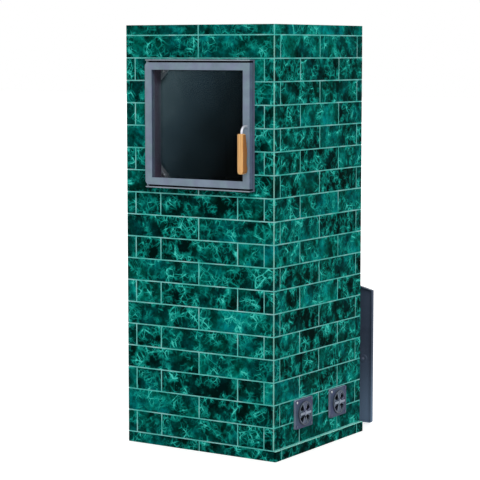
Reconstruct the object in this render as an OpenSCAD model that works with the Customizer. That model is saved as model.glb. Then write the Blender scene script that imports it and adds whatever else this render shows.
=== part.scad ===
// Closed sauna stove: a welded heater inside a jacket of stone bricks, fired from the next room.
// Millimetres. The origin is on the floor under the middle of the jacket and Z points up.
// The glazed door of the stone chamber faces -Y. The fuel channel leaves the jacket at +Y.

/* [Stone jacket] */
// Width of the jacket, left to right
jacket_w = 590; // [570:1:640]
// Depth of the jacket, front to rear
jacket_l = 574; // [550:1:640]
// Number of brick courses between plinth and cap
course_count = 18; // [17:1:20]
// Height from one bed joint to the next
course_pitch = 75; // [72:0.5:80]
// Width of the mortar joints
joint = 4; // [3:0.5:6]
// Depth of the bricks
stone_t = 36; // [30:1:42]
// Height of the plinth up to its bed joint
plinth_h = 36; // [34:1:60]
// Ledge of the plinth at the right and at the rear
plinth_ledge = 8; // [2:1:20]
// Height of the cap stones with their bed joint
cap_h = 34; // [32:1:60]
// Chamfer on the upright edges of the bricks
arris = 1; // [0.5:0.5:2]
// Chamfer on the four corners of the jacket
corner_arris = 3; // [1:0.5:5]
// Depth by which the mortar lies behind the stone faces
mortar_recess = 1; // [0.5:0.5:3]
// Distance from the middle to the joints of the long bricks in front
front_split = 154; // [120:1:180]
// Distance from the middle to the joints of the long bricks at the sides
side_split = 125; // [100:1:170]

/* [Glazed door] */
// Offset of the door from the middle of the jacket
door_x = 10.5; // [0:0.5:16]
// Width of the door leaf
leaf_w = 419; // [380:1:424]
// Height of the door leaf
leaf_h = 405; // [360:1:440]
// Thickness of the door leaf
leaf_t = 19; // [18:0.5:24]
// Distance from the top of the jacket to the top of the leaf
leaf_drop = 123.5; // [116:0.5:180]
// Width of the stile on the hinge side
stile_hinge = 32; // [29:1:50]
// Width of the stile on the handle side
stile_handle = 26; // [26:1:50]
// Height of the top and bottom rails
rail_h = 24; // [24:0.5:45]
// Cut corners of the leaf on the hinge side
leaf_cut = 13; // [4:1:16]
// Thickness of the door glass
glass_t = 4; // [3:0.5:5]
// Thickness of the flat gasket in front of the glass
gasket_t = 1; // [0.5:0.5:1.5]
// Thickness of the lip that the glass lies against
glass_lip = 4; // [3:0.5:4.5]
// Lap of the lip over the glass
glass_lap = 8; // [5:0.5:8.5]
// Thickness of the cast frame behind the leaf
frame_t = 10.5; // [9:0.5:16]
// Thickness of the cheeks above and below the leaf
cheek_t = 4; // [3:0.5:6]
// Gap between the leaf and each cheek
cheek_gap = 6; // [3:0.5:8]
// Radius of the hinge pins
pin_r = 4; // [2.5:0.5:4.5]

/* [Throat] */
// Lap of the leaf past the throat at the sides
lap_side = 23; // [20:1:26]
// Lap of the leaf past the throat at the top
lap_top = 18; // [17:1:19]
// Lap of the leaf past the throat at the bottom
lap_bottom = 19; // [18:1:19]
// Thickness of the throat sheet
throat_t = 4; // [3:0.5:5]
// Expansion gap between the throat and the wall
throat_fit = 6; // [4:1:10]
// Leg of the corner gussets that tie the throat to the heater
gusset_leg = 60; // [50:1:80]
// Thickness of the corner gussets
gusset_t = 3; // [2:0.5:3]
// Across corners radius of the gusset bolts
bolt_head_r = 7; // [6:0.5:8]

/* [Handles] */
// Radius of the handle rods
rod_r = 4; // [3:0.25:4.5]
// Distance from the leaf to the hanging part of the rod
rod_out = 30; // [26:1:45]
// Radius of the bend in the rod
bend_r = 20; // [12:1:22]
// Distance from the handle axis to the free edge of the leaf
handle_in = 11; // [11:0.5:12]
// Length of the wooden grip
grip_len = 130; // [90:1:130]
// Width of the wooden grip
grip_w = 22; // [18:1:26]
// Depth of the grip at its top
grip_top = 19; // [17:1:24]
// Depth of the grip at its bottom
grip_bottom = 30; // [24:1:34]
// Angle by which the latch has to be pressed home
latch_tilt = 15; // [12:1:18]

/* [Air vents] */
// Width of a vent plate
vent_w = 108; // [100:1:116]
// Height of a vent plate
vent_h = 98; // [92:1:110]
// Thickness of a vent plate
vent_t = 8; // [6:0.5:12]
// Height of the vent centres above the floor
vent_z = 134; // [100:1:160]
// Distance between the two vent centres
vent_gap = 227; // [150:1:260]
// Offset of the pair of vents towards the rear
vent_mid = 6; // [0:1:20]
// Radius of the turning rosette
rose_r = 39.5; // [36:0.5:42]
// Thickness of the turning rosette
rose_t = 3; // [2:0.5:4]
// Inner radius of the air openings
wedge_in = 13; // [12:0.5:16]
// Outer radius of the air openings
wedge_out = 33; // [26:0.5:34]
// Half of the angle of an air opening
wedge_half = 20; // [12:1:21]

/* [Heater] */
// Thickness of the shell plates
shell_t = 5; // [3:0.5:8]
// Height of the base frame
base_h = 40; // [40:1:50]
// Air gap between the shell and the side walls
side_air = 22; // [20:1:40]
// Air gap between the shell and the rear wall
rear_air = 26; // [15:1:40]
// Smoke gap between the shell and the sides of the stone chamber
smoke_gap = 21; // [12:1:22]
// Thickness of the stone chamber plates
chamber_t = 4; // [3:0.5:6]
// Depth of the stone chamber
chamber_l = 432; // [340:1:440]
// Distance from the top of the jacket to the chamber floor
chamber_drop = 800; // [740:1:840]
// Thickness of the firebricks
brick_t = 30; // [25:1:40]
// Height of the firebrick lining
lining_h = 385; // [320:1:395]
// Width of the grate
grate_w = 240; // [180:1:280]
// Length of the grate
grate_l = 260; // [200:1:320]
// Radius of the flue socket
flue_r = 58; // [48:1:62]
// Height by which the flue socket stays below the top of the jacket
flue_drop = 8; // [5:1:12]
// Distance from the top of the jacket to the heater top
heater_drop = 68; // [60:1:80]

/* [Fuel channel] */
// Width of the fuel channel
channel_w = 312; // [300:1:340]
// Number of courses that the channel takes in the rear wall
channel_courses = 6; // [6:1:7]
// Thickness of the channel sheet
channel_t = 4; // [3:0.5:5]
// Height of the ash shelf above the floor
shelf_z = 170; // [166:1:176]
// Distance from the rear wall to the portal plate
portal_out = 130; // [100:1:200]
// Width of the portal plate
portal_w = 546; // [520:1:600]
// Height of the crown of the portal plate
portal_crown = 521; // [505:1:560]
// Radius of the arched top edge
portal_arch = 1040; // [900:10:1600]
// Height of the portal plate above the floor
portal_foot = 4; // [2:1:20]
// Thickness of the portal plate
portal_t = 3; // [2:0.5:5]
// Depth of the edge folded towards the stove
portal_lip = 10; // [8:1:24]
// Half of the distance between the anchor holes
anchor_x = 235; // [215:1:240]
// Height of the anchor holes
anchor_z = 235; // [190:1:300]
// Radius of the anchor holes
anchor_r = 4.5; // [3:0.5:6]
// Radius of the pressed ring round an anchor hole
anchor_ring = 15; // [11:0.5:18]
// Width of the fuel opening
fuel_w = 264; // [240:1:268]
// Height of the fuel opening
fuel_h = 248; // [220:1:250]
// Lap of the fuel door past its opening
fuel_lap = 26; // [22:1:27]
// Thickness of the fuel door
fuel_t = 20; // [19:0.5:24]
// Length of the grip on the fuel door
fuel_grip = 110; // [80:1:112]

/* [Ash drawer] */
// Width of the drawer tray
tray_w = 286; // [240:1:288]
// Height of the drawer tray
tray_h = 105; // [70:1:110]
// Length of the tray inside the portal
tray_l = 570; // [450:1:600]
// Thickness of the tray sheet
tray_t = 2; // [1.5:0.5:3]
// Height of the drawer front
ash_front_h = 128; // [126:1:130]
// Depth of the drawer front
ash_front_t = 12; // [8:1:20]

/* [Hidden] */
$fn = 48;
fit = 0.05;
run_gap = 0.3;
half_w = jacket_w / 2;
half_l = jacket_l / 2;
in_x = half_w - stone_t;
in_y = half_l - stone_t;
jacket_h = plinth_h + course_count * course_pitch + cap_h;
brick_h = course_pitch - joint;
cap_z = jacket_h - cap_h + joint / 2;

leaf_x0 = door_x - leaf_w / 2;
leaf_x1 = door_x + leaf_w / 2;
leaf_z1 = jacket_h - leaf_drop;
leaf_z0 = leaf_z1 - leaf_h;
leaf_gap = 0.5;
leaf_y1 = -half_l - frame_t - leaf_gap;
leaf_y0 = leaf_y1 - leaf_t;
window_x0 = leaf_x0 + stile_hinge;
window_x1 = leaf_x1 - stile_handle;
window_z0 = leaf_z0 + rail_h;
window_z1 = leaf_z1 - rail_h;
rebate_y = leaf_y0 + glass_lip;
glass_y = rebate_y + gasket_t;
glass_back = glass_y + glass_t;
glass_play = 0.5;
roll_r = leaf_t / 2;
hinge_x = leaf_x0 + roll_r;
hinge_y = leaf_y0 + roll_r;
frame_y = -half_l - frame_t;
frame_x1 = leaf_x1 + 0.6;
frame_z0 = leaf_z0 - cheek_gap - cheek_t;
frame_z1 = leaf_z1 + cheek_gap + cheek_t;
cheek_cut = 8;

throat_x0 = leaf_x0 + lap_side;
throat_x1 = leaf_x1 - lap_side;
throat_z0 = leaf_z0 + lap_bottom;
throat_z1 = leaf_z1 - lap_top;
seal_in = 4;
seal_w = 6;
seal_d = 5;
clip_w = 16;
clip_reach = 10;
clip_t = 2;
clip_screw_r = 2.5;
gusset_lap = 8;
gusset_bolt = 21;

handle_x = leaf_x1 - handle_in;
handle_z = (leaf_z0 + leaf_z1) / 2;
grip_drop = 3.5;
grip_fore = 10;
rod_in_grip = 40;
bush_r = rod_r + 3;
cam_t = 3.5;
cam_reach = 36;
cam_w = 7;
cam_play = 0.4;
keeper_t = 2.2;
pocket_y = leaf_y1 - 2 * cam_play - keeper_t - cam_t - 3.5;
keeper_y = pocket_y + cam_play;
cam_y = keeper_y + keeper_t + cam_play;
pocket_wall = 3;

heat_x = in_x - side_air;
heat_y0 = -in_y + 4;
heat_y1 = in_y - rear_air;
heat_z1 = jacket_h - heater_drop;
shell_x = heat_x - shell_t;
shell_y0 = heat_y0 + shell_t;
shell_y1 = heat_y1 - shell_t;
floor_z = base_h + shell_t;
roof_z = heat_z1 - shell_t;
chamber_x = shell_x - smoke_gap;
chamber_y1 = shell_y0 + chamber_l;
chamber_z0 = jacket_h - chamber_drop;
chamber_z1 = roof_z - 35;
throat_y1 = heat_y0 - gusset_t;
flue_y = 80;
flue_t = 3;
flue_top = jacket_h - flue_drop;
cover_t = 4;
cover_z = jacket_h - 30;
slot_pitch = 90;
slot_len = 60;
slot_w = 12;

channel_x = channel_w / 2;
channel_top = plinth_h + channel_courses * course_pitch - joint / 2 - 4;
grate_z = shelf_z + shell_t;
portal_y = half_l + portal_out;
portal_face = portal_y + portal_t;
fuel_x = fuel_w / 2;
fuel_z0 = shelf_z + channel_t + 30;
fuel_z1 = fuel_z0 + fuel_h;
door2_x = fuel_x + fuel_lap;
door2_z0 = fuel_z0 - fuel_lap;
door2_z1 = fuel_z1 + fuel_lap;
door2_y0 = portal_face + 1;
door2_y1 = door2_y0 + fuel_t;
door2_skin = 3;
rope_w = 10;
hinge2_x = -door2_x - 14;
hinge2_y = door2_y0 + fuel_t / 2;
hinge2_r = 8;
lug_h = 30;
lug_in = 50;
spindle_x = fuel_x - 22;
spindle_z = (door2_z0 + door2_z1) / 2;
bar_t = 5;
bar_half = 6;
hook_x0 = door2_x + 6;
hook_w = 12;
bar_play = 1;

tray_x = tray_w / 2;
tray_z = floor_z + run_gap;
tray_y0 = portal_face - tray_l;
tray_y1 = door2_y0 + ash_front_t - 3;
ash_z1 = door2_z0 - 10;
ash_z0 = ash_z1 - ash_front_h;
ash_open = tray_h + 10;

stone_color = [0.0, 0.33, 0.28];
mortar_color = [0.55, 0.68, 0.66];
steel_color = [0.30, 0.34, 0.42];
cast_color = [0.42, 0.47, 0.55];
bright_color = [0.75, 0.76, 0.78];
wood_color = [0.72, 0.48, 0.26];
brick_color = [0.80, 0.68, 0.52];
rope_color = [0.85, 0.84, 0.80];

// Helpers
module block(a, b) {
  translate(a) cube(b - a);
}

// Shape drawn in X and Z, seen from the front, with its front face at y
module facing(y, t) {
  translate([0, y + t, 0]) rotate([90, 0, 0]) linear_extrude(t) children();
}

// Rectangular frame seen from the front
module window_frame(x0, x1, z0, z1, w, y, t) {
  facing(y, t) difference() {
    translate([x0, z0]) square([x1 - x0, z1 - z0]);
    translate([x0 + w, z0 + w]) square([x1 - x0 - 2 * w, z1 - z0 - 2 * w]);
  }
}

module tube(r_out, r_in, h) {
  linear_extrude(h) difference() {
    circle(r_out);
    circle(r_in);
  }
}

module rounded_plate(w, h, r) {
  square([w - 2 * r, h], center = true);
  square([w, h - 2 * r], center = true);
  for (i = [-1, 1], j = [-1, 1]) translate([i * (w / 2 - r), j * (h / 2 - r)]) circle(r);
}

// Places a wall: x runs along the wall and y runs from its outer face inwards
module at_front() { translate([0, -half_l, 0]) children(); }
module at_right() { translate([half_w, 0, 0]) rotate([0, 0, 90]) children(); }
module at_rear() { translate([0, half_l, 0]) rotate([0, 0, 180]) children(); }
module at_left() { translate([-half_w, 0, 0]) rotate([0, 0, -90]) children(); }

// Bricks
function course_z(i) = plinth_h + i * course_pitch + joint / 2;
function front_runs_through(i) = (course_count - i) % 2 == 1;
function wide_end(i) = front_runs_through(i) ? half_w : in_x - joint;
function wide_cuts(i) = front_runs_through(i) ? [0] : [-front_split, front_split];
function deep_end(i) = front_runs_through(i) ? in_y - joint : half_l;
function deep_cuts(i) = front_runs_through(i) ? [0] : [-side_split, side_split];
function spans(e, cuts) =
  let (p = concat([-e - joint / 2], cuts, [e + joint / 2]))
  [for (j = [0 : len(p) - 2]) [p[j] + joint / 2, p[j + 1] - joint / 2]];

module brick(a, b, z, corner) {
  u = a < 1 - corner ? corner_arris : arris;
  v = b > corner - 1 ? corner_arris : arris;
  translate([0, 0, z]) linear_extrude(brick_h)
    polygon([[a + u, 0], [b - v, 0], [b, v], [b, stone_t], [a, stone_t], [a, u]]);
}

module courses(wide) {
  for (i = [0 : course_count - 1]) {
    run = wide ? spans(wide_end(i), wide_cuts(i)) : spans(deep_end(i), deep_cuts(i));
    for (s = run) brick(s[0], s[1], course_z(i), wide ? half_w : half_l);
  }
}

module joint_fill(x, i) {
  block([x - joint / 2, mortar_recess, course_z(i)],
    [x + joint / 2, stone_t - mortar_recess, course_z(i) + brick_h]);
}

module head_joints(wide) {
  for (i = [0 : course_count - 1]) {
    short_run = wide != front_runs_through(i);
    e = wide ? wide_end(i) : deep_end(i);
    for (c = wide ? wide_cuts(i) : deep_cuts(i)) joint_fill(c, i);
    if (short_run) for (s = [-1, 1]) joint_fill(s * (e + joint / 2), i);
  }
}

module throat_hole() {
  block([throat_x0 - throat_t - throat_fit, -half_l - 1, throat_z0 - throat_t - throat_fit],
    [throat_x1 + throat_t + throat_fit, -in_y + 1, throat_z1 + throat_t + throat_fit]);
}

module channel_hole() {
  block([-channel_x - 4, in_y - 1, plinth_h + joint / 2],
    [channel_x + 4, half_l + 1, channel_top + 4]);
}

// Places a vent: local z points out of the right wall
module at_vents() {
  for (s = [-1, 1]) translate([half_w, vent_mid + s * vent_gap / 2, vent_z]) rotate([90, 0, 90]) children();
}

module at_vent_screws() {
  for (i = [-1, 1], j = [-1, 1]) translate([i * (vent_w / 2 - 8), j * (vent_h / 2 - 8), 0]) children();
}

vent_screw_r = 2.5;
vent_screw_in = 14;
duct_r = rose_r + 2.5;
duct_t = 2;

module vent_drillings() {
  at_vents() {
    translate([0, 0, -stone_t - 1]) cylinder(r = duct_r + 1, h = stone_t + 2);
    at_vent_screws() translate([0, 0, -vent_screw_in]) cylinder(r = vent_screw_r + fit, h = vent_screw_in + 1);
  }
}

module plinth_stones() {
  h = plinth_h - joint / 2;
  out_x = half_w + plinth_ledge;
  out_y = half_l + plinth_ledge;
  c = corner_arris;
  color(stone_color) linear_extrude(h) {
    for (x = [-half_w, out_x], y = [-half_l, out_y])
      polygon([[sign(x) * joint / 2, sign(y) * in_y], [x, sign(y) * in_y], [x, y - sign(y) * c],
        [x - sign(x) * c, y], [sign(x) * joint / 2, y]]);
    translate([-half_w, -in_y + joint]) square([stone_t, 2 * (in_y - joint)]);
    translate([in_x, -in_y + joint]) square([stone_t + plinth_ledge, 2 * (in_y - joint)]);
  }
}

module front_stones() {
  color(stone_color) difference() {
    at_front() courses(true);
    throat_hole();
  }
}

module right_stones() {
  color(stone_color) difference() {
    at_right() courses(false);
    vent_drillings();
  }
}

module left_stones() {
  color(stone_color) at_left() courses(false);
}

module rear_stones() {
  color(stone_color) difference() {
    at_rear() courses(true);
    channel_hole();
  }
}

// Cap stones meet in mitred corners
mitre = joint / sqrt(2);

module cap_stones() {
  h = jacket_h - cap_z;
  color(stone_color) translate([0, 0, cap_z]) {
    for (mx = [0, 1], my = [0, 1]) mirror([mx, 0, 0]) mirror([0, my, 0]) linear_extrude(h)
      polygon([[-half_w + mitre, -half_l], [-joint / 2, -half_l], [-joint / 2, -in_y], [-in_x + mitre, -in_y]]);
    for (mx = [0, 1]) mirror([mx, 0, 0]) linear_extrude(h)
      polygon([[-half_w, -half_l + mitre], [-in_x, -in_y + mitre], [-in_x, in_y - mitre], [-half_w, half_l - mitre]]);
  }
}

module bed_mortar() {
  r = mortar_recess;
  x = half_w - r;
  y = half_l - r;
  c = max(corner_arris - 0.6 * r, 0.2);
  color(mortar_color) difference() {
    for (k = [0 : course_count]) translate([0, 0, plinth_h + k * course_pitch - joint / 2])
      linear_extrude(joint) difference() {
        polygon([[-x, c - y], [c - x, -y], [x - c, -y], [x, c - y], [x, y - c], [x - c, y], [c - x, y], [-x, y - c]]);
        square([2 * (in_x + r), 2 * (in_y + r)], center = true);
      }
    throat_hole();
    vent_drillings();
    channel_hole();
  }
}

module head_mortar() {
  r = mortar_recess;
  diag = sqrt(2);
  color(mortar_color) difference() {
    union() {
      at_front() head_joints(true);
      at_rear() head_joints(true);
      at_right() head_joints(false);
      at_left() head_joints(false);
      for (s = [-1, 1]) {
        block([-joint / 2, s * (half_l + in_y) / 2 - stone_t / 2 + r, cap_z],
          [joint / 2, s * (half_l + in_y) / 2 + stone_t / 2 - r, jacket_h - r]);
      }
      block([-joint / 2, -half_l + r, 0], [joint / 2, -in_y - r, plinth_h - joint / 2]);
      block([-joint / 2, in_y + r, 0], [joint / 2, half_l + plinth_ledge - r, plinth_h - joint / 2]);
      for (y = [-in_y, in_y - joint]) {
        block([in_x + r, y, 0], [half_w + plinth_ledge - r, y + joint, plinth_h - joint / 2]);
        block([-half_w + r, y, 0], [-in_x - r, y + joint, plinth_h - joint / 2]);
      }
      for (i = [-1, 1], j = [-1, 1]) translate([i * half_w, j * half_l, cap_z])
        rotate([0, 0, atan2(-j, -i)]) translate([r * diag + joint / 2, -joint / 2, 0])
        cube([(stone_t - 2 * r) * diag - joint, joint, cap_h - joint / 2 - r]);
    }
    throat_hole();
    vent_drillings();
    channel_hole();
  }
}

// Heater shell
module base_frame() {
  web = 4;
  foot = 36;
  color(steel_color) difference() {
    block([-heat_x + 10, heat_y0 + 10, 0], [heat_x - 10, heat_y1 - 10, base_h]);
    block([-heat_x + 10 + web, heat_y0 + 10 + web, -1], [heat_x - 10 - web, heat_y1 - 10 - web, base_h - web]);
    block([-heat_x + 10 + foot, heat_y0 + 10 + foot, -1], [heat_x - 10 - foot, heat_y1 - 10 - foot, base_h + 1]);
  }
}

module heater_floor() {
  color(steel_color) block([-heat_x, heat_y0, base_h], [heat_x, heat_y1, floor_z]);
}

module heater_sides() {
  color(steel_color) {
    block([-heat_x, shell_y0, floor_z], [-shell_x, shell_y1, roof_z]);
    block([shell_x, shell_y0, floor_z], [heat_x, shell_y1, roof_z]);
  }
}

// The four corners of the throat opening keep a tab for the gusset bolts
module opening_outline(grow, leg) {
  x0 = throat_x0 - throat_t - grow;
  x1 = throat_x1 + throat_t + grow;
  z0 = throat_z0 - throat_t - grow;
  z1 = throat_z1 + throat_t + grow;
  polygon([[x0 + leg, z0], [x1 - leg, z0], [x1, z0 + leg], [x1, z1 - leg],
    [x1 - leg, z1], [x0 + leg, z1], [x0, z1 - leg], [x0, z0 + leg]]);
}

module at_gussets() {
  x0 = throat_x0 - throat_t - gusset_lap;
  x1 = throat_x1 + throat_t + gusset_lap;
  z0 = throat_z0 - throat_t - gusset_lap;
  z1 = throat_z1 + throat_t + gusset_lap;
  translate([x0, 0, z0]) children();
  translate([x1, 0, z0]) rotate([0, -90, 0]) children();
  translate([x1, 0, z1]) rotate([0, 180, 0]) children();
  translate([x0, 0, z1]) rotate([0, 90, 0]) children();
}

module gusset_holes() {
  at_gussets() translate([gusset_bolt, shell_y0 + 1, gusset_bolt]) rotate([90, 0, 0])
    cylinder(r = rod_r + fit, h = shell_t + gusset_t + 2);
}

module heater_front() {
  color(steel_color) difference() {
    block([-heat_x, heat_y0, floor_z], [heat_x, shell_y0, roof_z]);
    facing(heat_y0 - 1, shell_t + 2) opening_outline(4, gusset_leg - gusset_lap - 4);
    gusset_holes();
  }
}

module heater_rear() {
  inner = channel_x - channel_t;
  color(steel_color) difference() {
    block([-heat_x, shell_y1, floor_z], [heat_x, heat_y1, roof_z]);
    block([-inner, shell_y1 - 1, floor_z - 1], [inner, heat_y1 + 1, shelf_z]);
    block([-inner, shell_y1 - 1, grate_z], [inner, heat_y1 + 1, channel_top - channel_t]);
  }
}

module heater_top() {
  color(steel_color) difference() {
    block([-heat_x, heat_y0, roof_z], [heat_x, heat_y1, heat_z1]);
    translate([0, flue_y, roof_z - 1]) cylinder(r = flue_r, h = shell_t + 2);
  }
}

module grate_shelf() {
  hole_x = grate_w / 2 - 10;
  hole_y = grate_l / 2 - 10;
  color(steel_color) difference() {
    block([-shell_x, shell_y0, shelf_z], [shell_x, shell_y1, grate_z]);
    block([-hole_x, -hole_y - 10, shelf_z - 1], [hole_x, hole_y - 10, grate_z + 1]);
  }
}

// Cast grate with a solid rim and tapering air slots between its bars
module grate() {
  slot = 9;
  pitch = 20;
  n = floor((grate_w / 2 - 16) / pitch);
  color(cast_color) translate([0, -10, grate_z]) difference() {
    linear_extrude(12) difference() {
      rounded_plate(grate_w, grate_l, 8);
      for (i = [-n : n], s = [-1, 1]) translate([i * pitch, s * grate_l / 4]) {
        square([slot, grate_l / 2 - 40], center = true);
        for (e = [-1, 1]) translate([0, e * (grate_l / 4 - 20)]) circle(slot / 2);
      }
    }
    for (i = [-n : n]) translate([i * pitch, grate_l / 2 - 16, -1]) rotate([90, 0, 0])
      linear_extrude(grate_l - 32) polygon([[-slot / 2 - 2, 0], [slot / 2 + 2, 0], [slot / 2, 7], [-slot / 2, 7]]);
  }
}

lining_gap = 2;

module brick_row(x0, x1, n, y0, y1, z0, z1) {
  gap = lining_gap;
  w = (x1 - x0 - (n - 1) * gap) / n;
  h = (z1 - z0 - gap) / 2;
  for (i = [0 : n - 1], j = [0, 1])
    block([x0 + i * (w + gap), y0, z0 + j * (h + gap)],
      [x0 + i * (w + gap) + w, y1, z0 + j * (h + gap) + h]);
}

module lining_bricks() {
  z1 = grate_z + lining_h;
  end_x = shell_x - brick_t - lining_gap;
  color(brick_color) {
    for (s = [-1, 1]) translate([s * (shell_x - brick_t / 2), 0, 0]) rotate([0, 0, 90])
      brick_row(shell_y0, shell_y1, 4, -brick_t / 2, brick_t / 2, grate_z, z1);
    brick_row(-end_x, end_x, 3, shell_y0, shell_y0 + brick_t, grate_z, z1);
    for (s = [-1, 1]) translate([s * (channel_x + end_x) / 2, 0, 0])
      brick_row((channel_x - end_x) / 2, (end_x - channel_x) / 2, 1, shell_y1 - brick_t, shell_y1, grate_z, z1);
  }
}

module flame_baffle() {
  smoke_way = 130;
  baffle_t = 12;
  color(brick_color) block([-shell_x + lining_gap, shell_y0, grate_z + lining_h],
    [shell_x - lining_gap, shell_y1 - smoke_way, grate_z + lining_h + baffle_t]);
}

module stone_chamber() {
  t = chamber_t;
  lug = 40;
  lug_end = 60;
  y1 = chamber_y1 - lug_end - lug;
  z1 = chamber_z1 - lug_end - lug;
  color(steel_color) {
    difference() {
      block([-chamber_x, shell_y0, chamber_z0], [chamber_x, chamber_y1, chamber_z1]);
      block([-chamber_x + t, shell_y0 - 1, chamber_z0 + t], [chamber_x - t, chamber_y1 - t, chamber_z1 - t]);
    }
    for (s = [-1, 1], y = [shell_y0 + lug_end, y1], z = [chamber_z0 + lug_end, z1])
      block([s * (chamber_x + shell_x) / 2 - smoke_gap / 2, y, z],
        [s * (chamber_x + shell_x) / 2 + smoke_gap / 2, y + lug, z + lug / 2]);
  }
}

module flue_collar() {
  color(steel_color) translate([0, flue_y, heat_z1]) {
    tube(flue_r + flue_t, flue_r, flue_top - heat_z1);
    tube(flue_r + flue_t + 12, flue_r + flue_t, 4);
  }
}

module top_cover() {
  x = in_x - 2;
  color(steel_color) difference() {
    block([-x, -in_y + 2, cover_z], [x, in_y - 2, cover_z + cover_t]);
    translate([0, flue_y, cover_z - 1]) cylinder(r = flue_r + flue_t + 3, h = cover_t + 2);
    for (s = [-1, 1], k = [-2 : 2]) translate([s * (in_x - 13), k * slot_pitch, cover_z - 1]) {
      translate([-slot_w / 2, -slot_len / 2, 0]) cube([slot_w, slot_len, cover_t + 2]);
      for (e = [-1, 1]) translate([0, e * slot_len / 2, 0]) cylinder(r = slot_w / 2, h = cover_t + 2);
    }
  }
}

// Angle lugs on the inner wall faces carry the cover
module cover_lug(x) {
  w = 14;
  t = 3;
  seat = 16;
  leg = 24;
  translate([x + w / 2, stone_t, cover_z]) rotate([0, -90, 0]) linear_extrude(w)
    polygon([[0, 0], [0, seat], [-t, seat], [-t, t], [-leg, t], [-leg, 0]]);
}

module cover_lugs() {
  color(steel_color) {
    for (x = [-slot_pitch * 1.5, slot_pitch * 1.5]) {
      at_left() cover_lug(x);
      at_right() cover_lug(x);
      at_front() cover_lug(x);
      at_rear() cover_lug(x);
    }
  }
}

// Fuel channel and portal
module fuel_channel() {
  t = channel_t;
  x = channel_x;
  color(steel_color) difference() {
    block([-x, heat_y1, base_h], [x, portal_y, channel_top]);
    block([-x + t, heat_y1 - 1, base_h + t], [x - t, portal_y + 1, shelf_z]);
    block([-x + t, heat_y1 - 1, shelf_z + t], [x - t, portal_y + 1, channel_top - t]);
  }
}

module portal_outline(inset) {
  r = 7 - inset;
  w = portal_w / 2 - inset;
  z0 = portal_foot + inset;
  crown = portal_crown - inset;
  intersection() {
    union() {
      translate([-w + r, z0]) square([2 * (w - r), crown]);
      translate([-w, z0 + r]) square([2 * w, crown]);
      for (s = [-1, 1]) translate([s * (w - r), z0 + r]) circle(r);
    }
    translate([0, crown - portal_arch + inset]) circle(portal_arch - inset, $fn = 360);
  }
}

module portal_plate() {
  color(steel_color) difference() {
    union() {
      facing(portal_y, portal_t) portal_outline(0);
      facing(portal_y - portal_lip, portal_lip) difference() {
        portal_outline(0);
        portal_outline(portal_t);
      }
      for (s = [-1, 1]) translate([s * anchor_x, portal_y, anchor_z]) rotate([90, 0, 0]) {
        cylinder(r1 = anchor_ring, r2 = anchor_ring - 2, h = 2);
      }
    }
    for (s = [-1, 1]) translate([s * anchor_x, portal_face + 1, anchor_z]) rotate([90, 0, 0])
      cylinder(r = anchor_r, h = portal_t + 10);
    for (s = [-1, 1]) translate([s * anchor_x, portal_y, anchor_z]) rotate([90, 0, 0]) translate([0, 0, 1])
      cylinder(r1 = anchor_r, r2 = anchor_ring - 4, h = 2);
    block([-fuel_x, portal_y - 1, fuel_z0], [fuel_x, portal_face + 1, fuel_z1]);
    block([-tray_x - 3, portal_y - 1, base_h + channel_t], [tray_x + 3, portal_face + 1, floor_z + ash_open]);
  }
}

// Door frame, throat and their fittings
module cheek(z) {
  translate([0, 0, z]) linear_extrude(cheek_t) polygon([[leaf_x0, frame_y], [frame_x1, frame_y],
    [frame_x1, leaf_y0], [leaf_x0 + cheek_cut, leaf_y0], [leaf_x0, leaf_y0 + cheek_cut]]);
}

module seal_ring(y, t) {
  window_frame(throat_x0 - seal_in - seal_w, throat_x1 + seal_in + seal_w,
    throat_z0 - seal_in - seal_w, throat_z1 + seal_in + seal_w, seal_w, y, t);
}

module door_frame() {
  color(cast_color) difference() {
    union() {
      block([leaf_x0, frame_y, frame_z0], [frame_x1, -half_l, frame_z1]);
      cheek(frame_z0);
      cheek(frame_z1 - cheek_t);
    }
    block([throat_x0, frame_y - 1, throat_z0], [throat_x1, -half_l + 1, throat_z1]);
    seal_ring(frame_y - 1, seal_d + 1);
    translate([hinge_x, hinge_y, frame_z0 - 1]) cylinder(r = pin_r + fit, h = frame_z1 - frame_z0 + 2);
  }
}

module door_seal() {
  color(rope_color) seal_ring(frame_y - 0.2, seal_d + 0.2);
}

module throat() {
  t = throat_t;
  color(steel_color) window_frame(throat_x0 - t, throat_x1 + t, throat_z0 - t, throat_z1 + t, t,
    -half_l, throat_y1 + half_l);
}

module throat_gussets() {
  color(bright_color) difference() {
    at_gussets() translate([0, heat_y0, 0]) rotate([90, 0, 0]) linear_extrude(gusset_t)
      polygon([[0, 0], [gusset_leg, 0], [gusset_leg, 4], [4, gusset_leg], [0, gusset_leg]]);
    gusset_holes();
  }
}

module throat_bolts() {
  color(bright_color) at_gussets() translate([gusset_bolt, 0, gusset_bolt]) {
    translate([0, throat_y1, 0]) rotate([90, 0, 0]) cylinder(r = bolt_head_r, h = 4, $fn = 6);
    translate([0, shell_y0 + 7, 0]) rotate([90, 0, 0]) cylinder(r = rod_r, h = shell_y0 + 7 - throat_y1 + 1);
    translate([0, shell_y0 + 6, 0]) rotate([90, 0, 0]) cylinder(r = bolt_head_r, h = 6, $fn = 6);
  }
}

module latch_keeper() {
  z0 = handle_z + 20;
  z1 = z0 + 16;
  web_x = handle_x + cam_w / 2 + 1;
  color(bright_color) {
    block([web_x, keeper_y, z0], [web_x + 2.5, frame_y, z1]);
    block([handle_x - 0.5, keeper_y, z0], [web_x, keeper_y + keeper_t, z1]);
  }
}

// Glazed door leaf
module leaf_outline() {
  polygon([[leaf_x0, leaf_z0 + leaf_cut], [leaf_x0 + leaf_cut, leaf_z0], [leaf_x1, leaf_z0],
    [leaf_x1, leaf_z1], [leaf_x0 + leaf_cut, leaf_z1], [leaf_x0, leaf_z1 - leaf_cut]]);
}

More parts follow.
